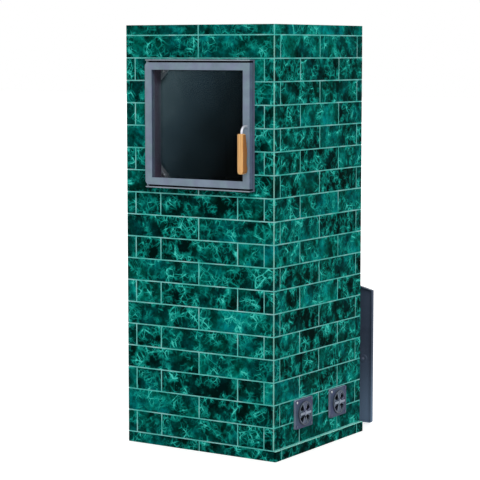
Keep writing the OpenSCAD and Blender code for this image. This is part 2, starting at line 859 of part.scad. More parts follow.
rebate_x0 = window_x0 - glass_lap + 1;
rebate_x1 = window_x1 + glass_lap - 1;
rebate_z0 = window_z0 - glass_lap;
rebate_z1 = window_z1 + glass_lap;

// Clip places along the rebate: local z points away from the glass
module at_clips() {
  mid = (rebate_x0 + rebate_x1) / 2;
  step = (rebate_x1 - rebate_x0) * 0.36;
  for (k = [-1 : 1]) {
    translate([mid + k * step, glass_back, rebate_z1]) children();
    translate([mid + k * step, glass_back, rebate_z0]) rotate([0, 180, 0]) children();
  }
  for (s = [-1, 1]) translate([rebate_x1, glass_back, handle_z + s * leaf_h * 0.3])
    rotate([0, 90, 0]) children();
}

module clip_hole(r, y0, h) {
  translate([0, y0, clip_reach / 2 + 0.5]) rotate([-90, 0, 0]) cylinder(r = r, h = h);
}

module door_leaf() {
  color(cast_color) difference() {
    intersection() {
      facing(leaf_y0, leaf_t) leaf_outline();
      union() {
        block([hinge_x, leaf_y0, leaf_z0], [leaf_x1, leaf_y1, leaf_z1]);
        translate([hinge_x, hinge_y, leaf_z0]) cylinder(r = roll_r, h = leaf_h);
      }
    }
    block([window_x0, leaf_y0 - 1, window_z0], [window_x1, leaf_y1 + 1, window_z1]);
    block([rebate_x0, rebate_y, rebate_z0], [rebate_x1, leaf_y1 + 1, rebate_z1]);
    at_clips() {
      translate([-clip_w / 2 - 0.5, 0, -1]) cube([clip_w + 1, leaf_t, clip_reach + 1.5]);
      clip_hole(clip_screw_r + fit, -6, 8);
    }
    block([rebate_x1 - 5, pocket_y, handle_z - 9], [leaf_x1 - pocket_wall, leaf_y1 + 1, handle_z + 42]);
    translate([handle_x, leaf_y0 - 1, handle_z]) rotate([-90, 0, 0]) cylinder(r = bush_r + fit, h = leaf_t);
    translate([handle_x + bush_r + 1, hinge_y, handle_z]) rotate([0, 90, 0]) cylinder(r = 2.2, h = handle_in);
    translate([hinge_x, hinge_y, leaf_z0 - 1]) cylinder(r = pin_r + fit, h = 32);
    translate([hinge_x, hinge_y, leaf_z1 - 31]) cylinder(r = pin_r + fit, h = 32);
  }
}

module door_glass() {
  p = glass_play;
  color([0.15, 0.2, 0.22, 0.5]) block([rebate_x0 + p, glass_y, rebate_z0 + p],
    [rebate_x1 - p, glass_back, rebate_z1 - p]);
}

module glass_gasket() {
  p = glass_play;
  color(rope_color) window_frame(rebate_x0 + p, rebate_x1 - p, rebate_z0 + p, rebate_z1 - p,
    glass_lap - 3, rebate_y, gasket_t);
}

module glass_clips() {
  color(bright_color) at_clips() difference() {
    translate([-clip_w / 2, 0, -6]) cube([clip_w, clip_t, clip_reach + 6]);
    clip_hole(clip_screw_r + fit, -1, clip_t + 2);
  }
}

module glass_screws() {
  color(bright_color) at_clips() {
    clip_hole(clip_screw_r, -5.5, clip_t + 6);
    clip_hole(clip_screw_r + 2, clip_t, 2);
  }
}

module door_hinge_pins() {
  color(bright_color) {
    translate([hinge_x, hinge_y, frame_z0]) cylinder(r = pin_r, h = leaf_z0 - frame_z0 + 30);
    translate([hinge_x, hinge_y, leaf_z1 - 30]) cylinder(r = pin_r, h = frame_z1 - leaf_z1 + 30);
  }
}

module handle_bush() {
  color(bright_color) translate([handle_x, pocket_y, handle_z]) rotate([90, 0, 0]) {
    tube(bush_r, rod_r + fit, pocket_y - leaf_y0);
    translate([0, 0, pocket_y - leaf_y0]) tube(bush_r + 1.5, rod_r + fit, 1.5);
  }
}

// Lever used on both doors: the spindle lies on local y, -y points out of the leaf
module lever_rod(tail, drop) {
  straight = rod_out - bend_r;
  translate([0, tail, 0]) rotate([90, 0, 0]) cylinder(r = rod_r, h = tail + straight);
  translate([0, -straight, -bend_r]) rotate([90, 0, -90]) rotate_extrude(angle = 90)
    translate([bend_r, 0]) circle(rod_r);
  translate([0, -rod_out, -bend_r - drop]) cylinder(r = rod_r, h = drop);
}

// Wooden grip: flat front, back slanting outwards to the bottom, round lower end
module lever_grip(len) {
  r = grip_w / 2;
  z1 = -bend_r - grip_drop;
  z0 = z1 - len;
  front = -rod_out - grip_fore;
  difference() {
    intersection() {
      translate([-r, 0, 0]) rotate([90, 0, 90]) linear_extrude(grip_w) polygon([[front + 3, z1],
        [front, z1 - 5], [front, z0], [front + grip_bottom, z0], [front + grip_bottom, z0 + 12],
        [front + grip_top, z1 - 10], [front + grip_top - 2, z1]]);
      facing(front - 1, grip_bottom + 2) union() {
        translate([-r, z0 + r]) square([grip_w, len - r - 5]);
        translate([0, z0 + r]) circle(r);
        translate([-r + 4, z1 - 6]) square([grip_w - 8, 6]);
      }
    }
    translate([0, -rod_out, z1 - rod_in_grip]) cylinder(r = rod_r + fit, h = rod_in_grip + 1);
  }
}

module at_handle() {
  translate([handle_x, leaf_y0, handle_z]) children();
}

module handle_rod() {
  tail = frame_y - 1.3 - leaf_y0;
  color(bright_color) at_handle() lever_rod(tail, rod_in_grip + grip_drop);
}

module handle_grip() {
  color(wood_color) at_handle() lever_grip(grip_len);
}

module latch_cam() {
  color(bright_color) translate([handle_x, 0, handle_z]) facing(cam_y, cam_t) rotate(latch_tilt) difference() {
    union() {
      circle(bush_r);
      translate([-cam_w / 2, 0]) square([cam_w, cam_reach - cam_w / 2]);
      translate([0, cam_reach - cam_w / 2]) circle(cam_w / 2);
    }
    circle(rod_r + fit);
  }
}

module handle_nut() {
  back = cam_y + cam_t;
  color(bright_color) translate([handle_x, frame_y - 1.3, handle_z]) rotate([90, 0, 0])
    linear_extrude(frame_y - 1.3 - back) difference() {
      circle(rod_r + 2.5, $fn = 6);
      circle(rod_r + fit);
    }
}

// Rotary air vents
module wedges(grow) {
  reach = wedge_out + 10;
  for (q = [0 : 3]) rotate(45 + 90 * q) intersection() {
    difference() {
      circle(wedge_out + grow);
      circle(wedge_in - grow);
    }
    polygon([[0, 0], [reach * cos(wedge_half), -reach * sin(wedge_half)],
      [reach * cos(wedge_half), reach * sin(wedge_half)]]);
  }
}

vent_skin = 2.5;
pivot_r = 4;

module vent_plate() {
  difference() {
    linear_extrude(vent_t) rounded_plate(vent_w, vent_h, 4);
    translate([0, 0, -1]) linear_extrude(vent_t - vent_skin + 1) difference() {
      rounded_plate(vent_w - 2 * vent_skin, vent_h - 2 * vent_skin, 2);
      circle(wedge_in - 3);
      at_vent_screws() circle(vent_screw_r + 4.5);
    }
    translate([0, 0, -1]) linear_extrude(vent_t + 2) {
      wedges(0);
      circle(pivot_r + fit);
      at_vent_screws() circle(vent_screw_r + fit);
    }
  }
}

module vent_plates() {
  color(steel_color) at_vents() vent_plate();
}

module vent_ducts() {
  color(steel_color) at_vents() translate([0, 0, -stone_t]) tube(duct_r, duct_r - duct_t, stone_t + vent_t - vent_skin);
}

module vent_screws() {
  color(bright_color) at_vents() at_vent_screws() {
    translate([0, 0, -vent_screw_in + 0.5]) cylinder(r = vent_screw_r, h = vent_screw_in + vent_t);
    translate([0, 0, vent_t]) cylinder(r1 = vent_screw_r + 2.2, r2 = vent_screw_r + 1, h = 1.8);
  }
}

bar_h = 9;
disc_z = vent_t + run_gap;

module vent_pivots() {
  top = disc_z + rose_t + bar_h;
  color(bright_color) at_vents() {
    cylinder(r = pivot_r, h = top + run_gap);
    translate([0, 0, top + run_gap]) cylinder(r1 = pivot_r + 2.5, r2 = pivot_r + 1, h = 2);
  }
}

// Turning rosette: four openings, raised rim, raised V lines and a cross bar to turn it by
module vent_disc() {
  rib_in = wedge_in + 2;
  rib_len = rose_r - 1.5 - rib_in;
  translate([0, 0, disc_z]) difference() {
    union() {
      linear_extrude(rose_t) difference() {
        circle(rose_r);
        wedges(0);
      }
      translate([0, 0, rose_t]) {
        tube(rose_r, rose_r - 3, 2);
        for (q = [0, 180], s = [-1, 1]) rotate(q + 90 + s * (45 - wedge_half - 4)) translate([rib_in, -0.9, 0])
          cube([rib_len, 1.8, 1.2]);
        translate([-rose_r + 9, -4, 0]) cube([2 * rose_r - 18, 8, bar_h]);
        for (s = [-1, 1]) translate([s * (rose_r - 9), 0, 0]) cylinder(r = 4, h = bar_h);
        cylinder(r = pivot_r + 4.5, h = bar_h);
      }
    }
    translate([0, 0, -1]) cylinder(r = pivot_r + fit, h = rose_t + bar_h + 2);
  }
}

module vent_disc_front() {
  color(steel_color) translate([half_w, vent_mid - vent_gap / 2, vent_z]) rotate([90, 0, 90]) vent_disc();
}

module vent_disc_rear() {
  color(steel_color) translate([half_w, vent_mid + vent_gap / 2, vent_z]) rotate([90, 0, 90]) vent_disc();
}

// Fuel door on the outer side of the portal
lug_zs = [door2_z0 + lug_in, door2_z1 - lug_in - lug_h];
foot_h = 25;

module fuel_hinge_brackets() {
  color(steel_color) for (z = lug_zs) translate([hinge2_x, 0, z - foot_h]) difference() {
    union() {
      translate([0, hinge2_y, 0]) cylinder(r = hinge2_r, h = foot_h - run_gap);
      block([-hinge2_r, portal_face, 0], [hinge2_r, hinge2_y, foot_h - run_gap]);
    }
    translate([0, hinge2_y, -1]) cylinder(r = pin_r + fit, h = foot_h + 2);
  }
}

module fuel_hinge_pins() {
  color(bright_color) for (z = lug_zs) translate([hinge2_x, hinge2_y, z - foot_h]) {
    cylinder(r = pin_r, h = foot_h + lug_h + run_gap);
    translate([0, 0, foot_h + lug_h + run_gap]) cylinder(r = pin_r + 2, h = 2.5);
  }
}

module fuel_door_leaf() {
  s = door2_skin;
  rim = s + rope_w;
  color(steel_color) difference() {
    union() {
      difference() {
        block([-door2_x, door2_y0, door2_z0], [door2_x, door2_y1, door2_z1]);
        block([-door2_x + s, door2_y0 - 1, door2_z0 + s], [door2_x - s, door2_y1 - s, door2_z1 - s]);
      }
      window_frame(-door2_x + rim, door2_x - rim, door2_z0 + rim, door2_z1 - rim, s, door2_y0 + 2, fuel_t - s - 1);
      for (z = lug_zs) {
        translate([hinge2_x, hinge2_y, z]) cylinder(r = hinge2_r, h = lug_h);
        block([hinge2_x, hinge2_y - 6, z], [-door2_x + 1, hinge2_y + 6, z + lug_h]);
      }
      for (i = [-1, 1], j = [-1, 1]) translate([i * (fuel_x - 30), door2_y1 - s + 0.5, spindle_z + j * (fuel_h / 2 - 30)])
        rotate([90, 0, 0]) cylinder(r = 6, h = 6.5);
    }
    for (z = lug_zs) translate([hinge2_x, hinge2_y, z - 1]) cylinder(r = pin_r + fit, h = lug_h + 2);
    translate([spindle_x, door2_y1 + 1, spindle_z]) rotate([90, 0, 0]) cylinder(r = rod_r + fit, h = s + 2);
  }
}

module fuel_door_seal() {
  s = door2_skin;
  y = portal_face + run_gap;
  color(rope_color) window_frame(-door2_x + s, door2_x - s, door2_z0 + s, door2_z1 - s, rope_w,
    y, door2_y1 - s - y);
}

module fuel_door_shield() {
  edge = 4;
  color(steel_color) facing(door2_y1 - door2_skin - 8, 2) translate([0, spindle_z])
    rounded_plate(2 * (fuel_x - edge), fuel_h - 2 * edge, 10);
}

module at_fuel_handle() {
  translate([spindle_x, door2_y1, spindle_z]) rotate([0, 0, 180]) children();
}

module fuel_handle_rod() {
  tail = door2_skin + 3;
  color(bright_color) at_fuel_handle() {
    lever_rod(tail, rod_in_grip + grip_drop);
    translate([0, door2_skin + 1 + 1.6, 0]) rotate([90, 0, 0]) cylinder(r = rod_r + 4, h = 1.6);
  }
}

module fuel_handle_grip() {
  color(wood_color) at_fuel_handle() lever_grip(fuel_grip);
}

module fuel_latch_bar() {
  len = hook_x0 + hook_w + 2 - spindle_x;
  color(bright_color) translate([spindle_x, 0, spindle_z]) facing(door2_y1 + bar_play, bar_t) difference() {
    union() {
      circle(9);
      translate([0, -bar_half]) square([len, 2 * bar_half]);
    }
    circle(rod_r + fit);
  }
}

// Hook plate that the latch bar drops into
module fuel_keeper() {
  lip_y = door2_y1 + 2 * bar_play + bar_t;
  top = spindle_z - bar_half - 1;
  low = top - 8;
  color(bright_color) {
    translate([hook_x0, 0, 0]) rotate([90, 0, 90]) linear_extrude(hook_w) polygon([
      [portal_face, low - 12], [portal_face + 3, low - 12], [portal_face + 3, low - 4], [lip_y + 4, low - 4],
      [lip_y + 4, top], [lip_y, top], [lip_y, low], [portal_face + 3, low],
      [portal_face + 3, top + 12], [portal_face, top + 12]]);
  }
}

// Ash drawer
module ash_tray() {
  t = tray_t;
  color(steel_color) difference() {
    block([-tray_x, tray_y0 + t, tray_z], [tray_x, tray_y1 - t, tray_z + tray_h]);
    block([-tray_x + t, tray_y0, tray_z + t], [tray_x - t, tray_y1, tray_z + tray_h + 1]);
  }
}

module ash_tray_ends() {
  color(steel_color) {
    block([-tray_x, tray_y0, tray_z], [tray_x, tray_y0 + tray_t, tray_z + tray_h]);
    block([-tray_x, tray_y1 - tray_t, tray_z], [tray_x, tray_y1, tray_z + tray_h]);
  }
}

module ash_front() {
  s = 3;
  y1 = door2_y0 + ash_front_t;
  color(steel_color) difference() {
    block([-door2_x, door2_y0, ash_z0], [door2_x, y1, ash_z1]);
    block([-door2_x + s, door2_y0 - 1, ash_z0 + s], [door2_x - s, y1 - s, ash_z1 - s]);
  }
}

module ash_handle() {
  half = 45;
  out = 28;
  r = 12;
  z = (ash_z0 + ash_z1) / 2;
  color(bright_color) translate([0, door2_y0 + ash_front_t, z]) {
    for (m = [0, 1]) mirror([m, 0, 0]) {
      translate([half, 0, 0]) rotate([-90, 0, 0]) cylinder(r = rod_r, h = out - r);
      translate([half - r, out - r, 0]) rotate_extrude(angle = 90) translate([r, 0]) circle(rod_r);
    }
    translate([-half + r, out, 0]) rotate([0, 90, 0]) cylinder(r = rod_r, h = 2 * (half - r));
  }
}

plinth_stones();
front_stones();
right_stones();
left_stones();
rear_stones();
cap_stones();
bed_mortar();
head_mortar();
base_frame();
heater_floor();
heater_sides();
heater_front();
heater_rear();
heater_top();
grate_shelf();
grate();
lining_bricks();
flame_baffle();
stone_chamber();
fuel_channel();
portal_plate();
flue_collar();
top_cover();
cover_lugs();
throat();
throat_gussets();
throat_bolts();
door_frame();
door_seal();
latch_keeper();
vent_plates();
vent_ducts();
vent_screws();
vent_pivots();
fuel_hinge_brackets();
fuel_hinge_pins();
fuel_keeper();
door_leaf();
door_glass();
glass_gasket();
glass_clips();
glass_screws();
door_hinge_pins();
handle_bush();
handle_rod();
handle_grip();
latch_cam();
handle_nut();
vent_disc_front();
vent_disc_rear();
fuel_door_leaf();
fuel_door_seal();
fuel_door_shield();
fuel_handle_rod();
fuel_handle_grip();
fuel_latch_bar();
ash_tray();
ash_tray_ends();
ash_front();
ash_handle();
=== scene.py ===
# Sauna stove in a jacket of serpentine bricks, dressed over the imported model
import random
from math import hypot, radians

import bpy
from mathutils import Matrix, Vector


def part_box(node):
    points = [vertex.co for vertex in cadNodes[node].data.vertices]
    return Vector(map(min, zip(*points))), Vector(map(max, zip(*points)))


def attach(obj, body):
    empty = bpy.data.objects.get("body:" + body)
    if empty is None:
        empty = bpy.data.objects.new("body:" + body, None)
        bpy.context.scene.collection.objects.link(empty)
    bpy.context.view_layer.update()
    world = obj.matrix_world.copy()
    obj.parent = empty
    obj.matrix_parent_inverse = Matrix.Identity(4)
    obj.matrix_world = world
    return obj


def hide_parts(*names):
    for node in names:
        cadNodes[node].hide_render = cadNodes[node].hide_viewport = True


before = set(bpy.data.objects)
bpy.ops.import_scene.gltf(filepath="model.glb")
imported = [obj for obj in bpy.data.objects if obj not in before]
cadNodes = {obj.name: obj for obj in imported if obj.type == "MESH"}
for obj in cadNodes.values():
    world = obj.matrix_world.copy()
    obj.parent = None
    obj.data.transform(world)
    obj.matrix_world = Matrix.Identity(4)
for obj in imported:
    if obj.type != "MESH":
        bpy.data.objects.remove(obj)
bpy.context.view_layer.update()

print("frame loaded:", len(cadNodes), "nodes")


# Small tools. An operator acts on all that is selected, so everything is let go first
def letGo():
    if bpy.context.object and bpy.context.object.mode != "OBJECT":
        bpy.ops.object.mode_set(mode="OBJECT")
    bpy.ops.object.select_all(action="DESELECT")


def take(piece):
    letGo()
    piece.select_set(True)
    bpy.context.view_layer.objects.active = piece
    return piece


def named(piece, name):
    piece.name = piece.data.name = name
    return piece


def settle(piece):  # the place goes into the mesh and the object back to the origin
    take(piece)
    bpy.ops.object.transform_apply(location=True, rotation=True, scale=True)
    return piece


def moved(piece, *offset):
    piece.location = Vector(offset)
    return settle(piece)


def editAll(piece):
    take(piece)
    bpy.ops.object.mode_set(mode="EDIT")
    bpy.ops.mesh.select_all(action="SELECT")


def editChosen(piece, kind, wanted):  # edit mode, with the vertices, edges or faces that a test picks
    take(piece)
    bpy.ops.object.mode_set(mode="EDIT")
    bpy.ops.mesh.select_mode(type=kind)
    bpy.ops.mesh.select_all(action="DESELECT")
    bpy.ops.object.mode_set(mode="OBJECT")
    spots = piece.data.vertices
    if kind == "VERT":
        for spot in spots:
            spot.select = bool(wanted(spot.co))
    elif kind == "EDGE":
        for edge in piece.data.edges:
            edge.select = bool(wanted(*(spots[i].co for i in edge.vertices)))
    else:
        for face in piece.data.polygons:
            face.select = bool(wanted(face.center, face.normal))
    bpy.ops.object.mode_set(mode="EDIT")


def applied(piece, kind, **settings):
    take(piece)
    modifier = piece.modifiers.new(kind.title(), kind)
    for name, value in settings.items():
        setattr(modifier, name, value)
    bpy.ops.object.modifier_apply(modifier=modifier.name)
    return piece


def eased(piece, width, segments=2, degrees=60):  # rounds edges that are sharper than an angle, width in mm
    return applied(piece, "BEVEL", width=width / 1000, segments=segments, limit_method="ANGLE",
                   angle_limit=radians(degrees))


def weld(piece):  # what a bevel has closed to nothing is merged away
    editAll(piece)
    bpy.ops.mesh.remove_doubles(threshold=0.00001)
    bpy.ops.mesh.dissolve_degenerate(threshold=0.00001)
    letGo()
    return piece


def smooth(piece, degrees=38):
    take(piece)
    bpy.ops.object.shade_smooth_by_angle(angle=radians(degrees))
    return piece


def copied(piece, name):  # a copy has its own mesh
    twin = piece.copy()
    twin.data = piece.data.copy()
    bpy.context.scene.collection.objects.link(twin)
    return named(twin, name)


def joined(pieces, name):
    letGo()
    for piece in pieces:
        piece.select_set(True)
    bpy.context.view_layer.objects.active = pieces[0]
    bpy.ops.object.join()
    return named(pieces[0], name)


def repeated(first, name, spots):  # the piece and its copies, one moved to each spot, joined
    pieces = [first] + [copied(first, name + "Copy") for _ in spots[1:]]
    return joined([moved(piece, *spot) for piece, spot in zip(pieces, spots)], name)


def copyNode(node, name):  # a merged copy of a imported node, with its flat faces whole again
    piece = copied(cadNodes[node], name)
    piece.parent = None
    for key in list(piece.keys()):
        del piece[key]
    piece.data.materials.clear()
    take(piece)
    bpy.ops.mesh.customdata_custom_splitnormals_clear()
    editAll(piece)
    bpy.ops.mesh.remove_doubles(threshold=0.00002)
    bpy.ops.mesh.dissolve_limited(angle_limit=radians(0.8))
    letGo()
    return piece


def soften(node, name, width, segments=2):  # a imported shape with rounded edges, width in mm
    piece = smooth(weld(eased(copyNode(node, name), width, segments, 32)))
    return applied(piece, "WEIGHTED_NORMAL", keep_sharp=True)  # keeps flat faces flat beside the rounding


def hang(piece, body, material, slot, *nodes):  # finish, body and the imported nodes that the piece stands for
    piece.data.materials.clear()
    piece.data.materials.append(material)
    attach(piece, body)
    if nodes:
        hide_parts(*nodes)
    return piece


def faceMark(piece, name, value):  # one number per face for a material, from its centre, normal and corners
    marks = piece.data.attributes.new(name, "FLOAT", "FACE")
    spots = piece.data.vertices
    marks.data.foreach_set("value", [float(value(f.center, f.normal, [spots[i].co for i in f.vertices]))
                                     for f in piece.data.polygons])


def colour(code):  # sRGB hex turned into the linear values that shaders take
    parts = [int(code[i:i + 2], 16) / 255 for i in (1, 3, 5)]
    return tuple(c / 12.92 if c <= 0.04045 else ((c + 0.055) / 1.055) ** 2.4 for c in parts) + (1.0,)


def addNode(tree, kind, inputs=None, stops=None, out=0, **settings):
    # Inputs go by name or number. A pattern's Size, in mm, sets its Scale.
    # A Map Range has 1 to 4: from low, from high, to low, to high.
    # A Mix of colours has 0, 6 and 7: share, first and second colour, and its result is output 2.
    node = tree.nodes.new("ShaderNode" + kind)
    for name, value in settings.items():
        setattr(node, name, value)
    for key, value in (inputs or {}).items():
        if isinstance(value, bpy.types.NodeSocket):
            tree.links.new(value, node.inputs[key])
        elif key == "Size":
            node.inputs["Scale"].default_value = 1000 / value
        else:
            node.inputs[key].default_value = value
    if stops:
        band = node.color_ramp.elements
        while len(band) < len(stops):
            band.new(0.5)
        for element, (at, code) in zip(band, stops):
            element.position = at
            element.color = colour(code)
    return node.outputs if out is None else node.outputs[out]


def startMaterial(name, roughness=0.5, specular=0.5, **more):  # constants go on the shader's own sockets
    material = bpy.data.materials.new(name)
    material.use_nodes = True
    tree = material.node_tree
    for key, value in {"Roughness": roughness, "Specular IOR Level": specular, **more}.items():
        tree.nodes["Principled BSDF"].inputs[key].default_value = value
    return material, tree, addNode(tree, "TexCoord", out="Object")


def finishMaterial(material, varied):  # what varies over the surface is linked to the shader
    tree = material.node_tree
    for key, socket in varied.items():
        tree.links.new(socket, tree.nodes["Principled BSDF"].inputs[key])
    return material


# Materials. The sizes of their patterns are in mm
stoneLook = {
    "patch": 80,      # across a dark or a light patch
    "cloud": 19,      # across the clouds inside it
    "swirl": 90,      # across the swirls that bend them
    "bend": 30,       # how far the swirls push them
    "hueDrift": 90,   # from a bluer to a greener place
    "gathering": 42,  # across a place where veins gather
    "swelling": 18,   # along a vein, from thin to thick
    "fleck": 6,       # across a bright fleck
    "cracks": ((62, 0.045, 1.0), (34, 0.055, 0.90)),  # apart, width as a share of that, strength
    "threads": ((95, 0.018, 0.95), (55, 0.022, 0.90), (30, 0.024, 0.55)),  # across a curl, width, strength
    "greens": ((0.05, "#001411"), (0.28, "#002a24"), (0.48, "#004139"), (0.68, "#006158"), (0.92, "#00867f")),
    "hazeTint": "#0a8c80", "veinTint": "#16a394", "coreTint": "#58d9cb", "fleckTint": "#3fbfb0",
    # pale of the honed corners with their painted highlight, and of the painted highlight on the plinth's
    # ledge
    "arrisHighlightTint": "#a4ecdf",
}


def polishedSerpentine():
    # Serpentine, sawn and polished: near-black and green clouds under a broken net of pale veins, calm gloss
    material, tree, place = startMaterial("serpentine sawn and polished", specular=0.002, IOR=1.56)
    look = stoneLook
    cut = addNode(tree, "Attribute", out="Vector", attribute_name="stoneCut")  # a brick's place in the block
    tone = addNode(tree, "Attribute", out="Fac", attribute_name="stoneTone")
    arris = addNode(tree, "Attribute", out="Fac", attribute_name="arris")  # the jacket's honed corners are pale and carry a painted highlight, and the plinth's ledge a painted highlight
    own = addNode(tree, "VectorMath", {0: place, 1: cut}, operation="ADD")
    swirl = addNode(tree, "TexNoise", {"Vector": own, "Size": look["swirl"], "Detail": 3.0}, out="Color")
    push = (look["bend"] / 1000,) * 3
    bent = addNode(tree, "VectorMath", {0: swirl, 1: push, 2: own}, operation="MULTIPLY_ADD")

    patches = addNode(tree, "TexNoise", {"Vector": bent, "Size": look["patch"], "Detail": 3.0})
    clouds = addNode(tree, "TexNoise", {"Vector": bent, "Size": look["cloud"], "Detail": 6.0,
                                        "Roughness": 0.68})
    depth = addNode(tree, "Math", {0: patches, 1: tone}, operation="ADD")
    depth = addNode(tree, "Math", {0: clouds, 1: 0.7, 2: depth}, operation="MULTIPLY_ADD")
    level = addNode(tree, "MapRange", {"Value": depth, 1: 0.62, 2: 1.26})
    greens = addNode(tree, "ValToRGB", {"Fac": level}, look["greens"])
    drift = addNode(tree, "TexNoise", {"Vector": own, "Size": look["hueDrift"], "Detail": 2.0})
    hue = addNode(tree, "MapRange", {"Value": drift, 1: 0.35, 2: 0.65, 3: 0.490, 4: 0.534})
    tint = addNode(tree, "HueSaturation", {"Hue": hue, "Color": greens})

    gather = addNode(tree, "TexNoise", {"Vector": own, "Size": look["gathering"], "Detail": 3.0})
    where = addNode(tree, "MapRange", {"Value": gather, 1: 0.42, 2: 0.62})
    swell = addNode(tree, "TexNoise", {"Vector": own, "Size": look["swelling"], "Detail": 1.0})
    veins, haze = None, None
    for apart, width, strength in look["cracks"]:
        net = addNode(tree, "TexVoronoi", {"Vector": bent, "Size": apart, "Detail": 1.0},
                      feature="DISTANCE_TO_EDGE")
        reach = addNode(tree, "MapRange", {"Value": swell, 1: 0.34, 2: 0.66, 3: width * 0.25, 4: width * 1.7})
        line = addNode(tree, "MapRange", {"Value": net, 1: 0.0, 2: reach, 3: strength, 4: 0.0},
                       interpolation_type="SMOOTHSTEP")
        glow = addNode(tree, "MapRange", {"Value": net, 1: 0.0, 2: width * 4, 3: strength * 0.15, 4: 0.0})
        if veins:
            line = addNode(tree, "Math", {0: veins, 1: line}, operation="MAXIMUM")
            glow = addNode(tree, "Math", {0: haze, 1: glow}, operation="MAXIMUM")
        veins, haze = line, glow
    for across, width, strength in look["threads"]:  # thin curls, where a noise crosses its middle
        curls = addNode(tree, "TexNoise", {"Vector": bent, "Size": across, "Detail": 2.5, "Roughness": 0.55})
        off = addNode(tree, "Math", {0: curls, 1: 0.5}, operation="SUBTRACT")
        off = addNode(tree, "Math", {0: off}, operation="ABSOLUTE")
        reach = addNode(tree, "MapRange", {"Value": swell, 1: 0.34, 2: 0.66, 3: width * 0.4, 4: width * 1.5})
        thread = addNode(tree, "MapRange", {"Value": off, 1: 0.0, 2: reach, 3: strength, 4: 0.0})
        veins = addNode(tree, "Math", {0: veins, 1: thread}, operation="MAXIMUM")
    veins = addNode(tree, "Math", {0: veins, 1: where}, operation="MULTIPLY")
    haze = addNode(tree, "Math", {0: haze, 1: where}, operation="MULTIPLY")
    core = addNode(tree, "MapRange", {"Value": veins, 1: 0.75, 2: 1.0, 3: 0.0, 4: 0.8})
    grains = addNode(tree, "TexNoise", {"Vector": bent, "Size": look["fleck"], "Detail": 2.0})
    flecks = addNode(tree, "MapRange", {"Value": grains, 1: 0.66, 2: 0.78, 3: 0.0, 4: 0.7})
    flecks = addNode(tree, "Math", {0: flecks, 1: where}, operation="MULTIPLY")
    for share, over in ((haze, "hazeTint"), (veins, "veinTint"), (core, "coreTint"), (flecks, "fleckTint"),
                        (arris, "arrisHighlightTint")):
        tint = addNode(tree, "Mix", {0: share, 6: tint, 7: colour(look[over])}, out=2, data_type="RGBA")
    gloss = addNode(tree, "MapRange", {"Value": clouds, 1: 0.3, 2: 0.7, 3: 0.18, 4: 0.32})
    gloss = addNode(tree, "Math", {0: arris, 1: 0.35, 2: gloss}, operation="MULTIPLY_ADD")
    return finishMaterial(material, {"Base Color": tint, "Roughness": gloss})


mortarLook = {
    "sand": 1.2,  # between grains
    "damp": 50,   # across a damp or a dry patch
    "tints": ((0.46, "#3aaea3"), (0.64, "#62bbb4"), (0.84, "#8fc6c4")),
}


def pointedMortar():
    # Lime mortar, pointed with an iron: pale green from the dust of the sawn stone, matt, grains stand out
    material, tree, place = startMaterial("lime mortar pointed", 0.9, 0.01)
    sand = addNode(tree, "TexNoise", {"Vector": place, "Size": mortarLook["sand"], "Detail": 3.0})
    damp = addNode(tree, "TexNoise", {"Vector": place, "Size": mortarLook["damp"], "Detail": 4.0})
    mixed = addNode(tree, "Math", {0: sand, 1: 0.3, 2: damp}, operation="MULTIPLY_ADD")
    tints = addNode(tree, "ValToRGB", {"Fac": mixed}, mortarLook["tints"])
    bump = addNode(tree, "Bump", {"Height": sand, "Strength": 0.5, "Distance": 0.0006})
    return finishMaterial(material, {"Base Color": tints, "Normal": bump})


castingLook = {
    "pebble": 2.2,  # across a pebble of the cast skin
    "flow": 30,     # across a run of the spray
    "hueDrift": 45,  # from blue to lilac grey
    # the dark colour of painted shade in gaps, recesses and openings
    "sootAndShade": "#070b14",
}


def sprayedCasting(name, face, side, roughness=0.55):
    # Grey iron casting under sprayed heat-proof paint: a fine pebbled skin, mottled in blue and lilac greys
    material, tree, place = startMaterial(name, roughness, 0.12)
    look = castingLook
    skin = addNode(tree, "TexNoise", {"Vector": place, "Size": look["pebble"], "Detail": 4.0,
                                      "Roughness": 0.7})
    flow = addNode(tree, "TexNoise", {"Vector": place, "Size": look["flow"], "Detail": 3.0})
    drift = addNode(tree, "TexNoise", {"Vector": place, "Size": look["hueDrift"], "Detail": 3.0,
                                       "Roughness": 0.6})
    mottle = addNode(tree, "Math", {0: skin, 1: 0.5, 2: flow}, operation="MULTIPLY_ADD")
    value = addNode(tree, "MapRange", {"Value": mottle, 1: 0.55, 2: 0.95, 3: 0.88, 4: 1.10})
    hue = addNode(tree, "MapRange", {"Value": drift, 1: 0.38, 2: 0.62, 3: 0.480, 4: 0.525})
    # the marks lay on painted light: the second colour as painted shade on the door, as painted highlight on
    # the vents, the dark colour as painted shade
    edge, sootAndShade = (addNode(tree, "Attribute", out="Fac", attribute_name=mark) for mark in ("side", "sootAndShade"))
    paint = addNode(tree, "Mix", {0: edge, 6: colour(face), 7: colour(side)}, out=2, data_type="RGBA")
    paint = addNode(tree, "Mix", {0: sootAndShade, 6: paint, 7: colour(look["sootAndShade"])}, out=2, data_type="RGBA")
    paint = addNode(tree, "HueSaturation", {"Hue": hue, "Value": value, "Color": paint})
    bump = addNode(tree, "Bump", {"Height": skin, "Strength": 0.35, "Distance": 0.0005})
    return finishMaterial(material, {"Base Color": paint, "Normal": bump})


sheetLook = {
    "peel": 1.6,  # across the orange peel
    "cloud": 90,  # across a dusty patch
}


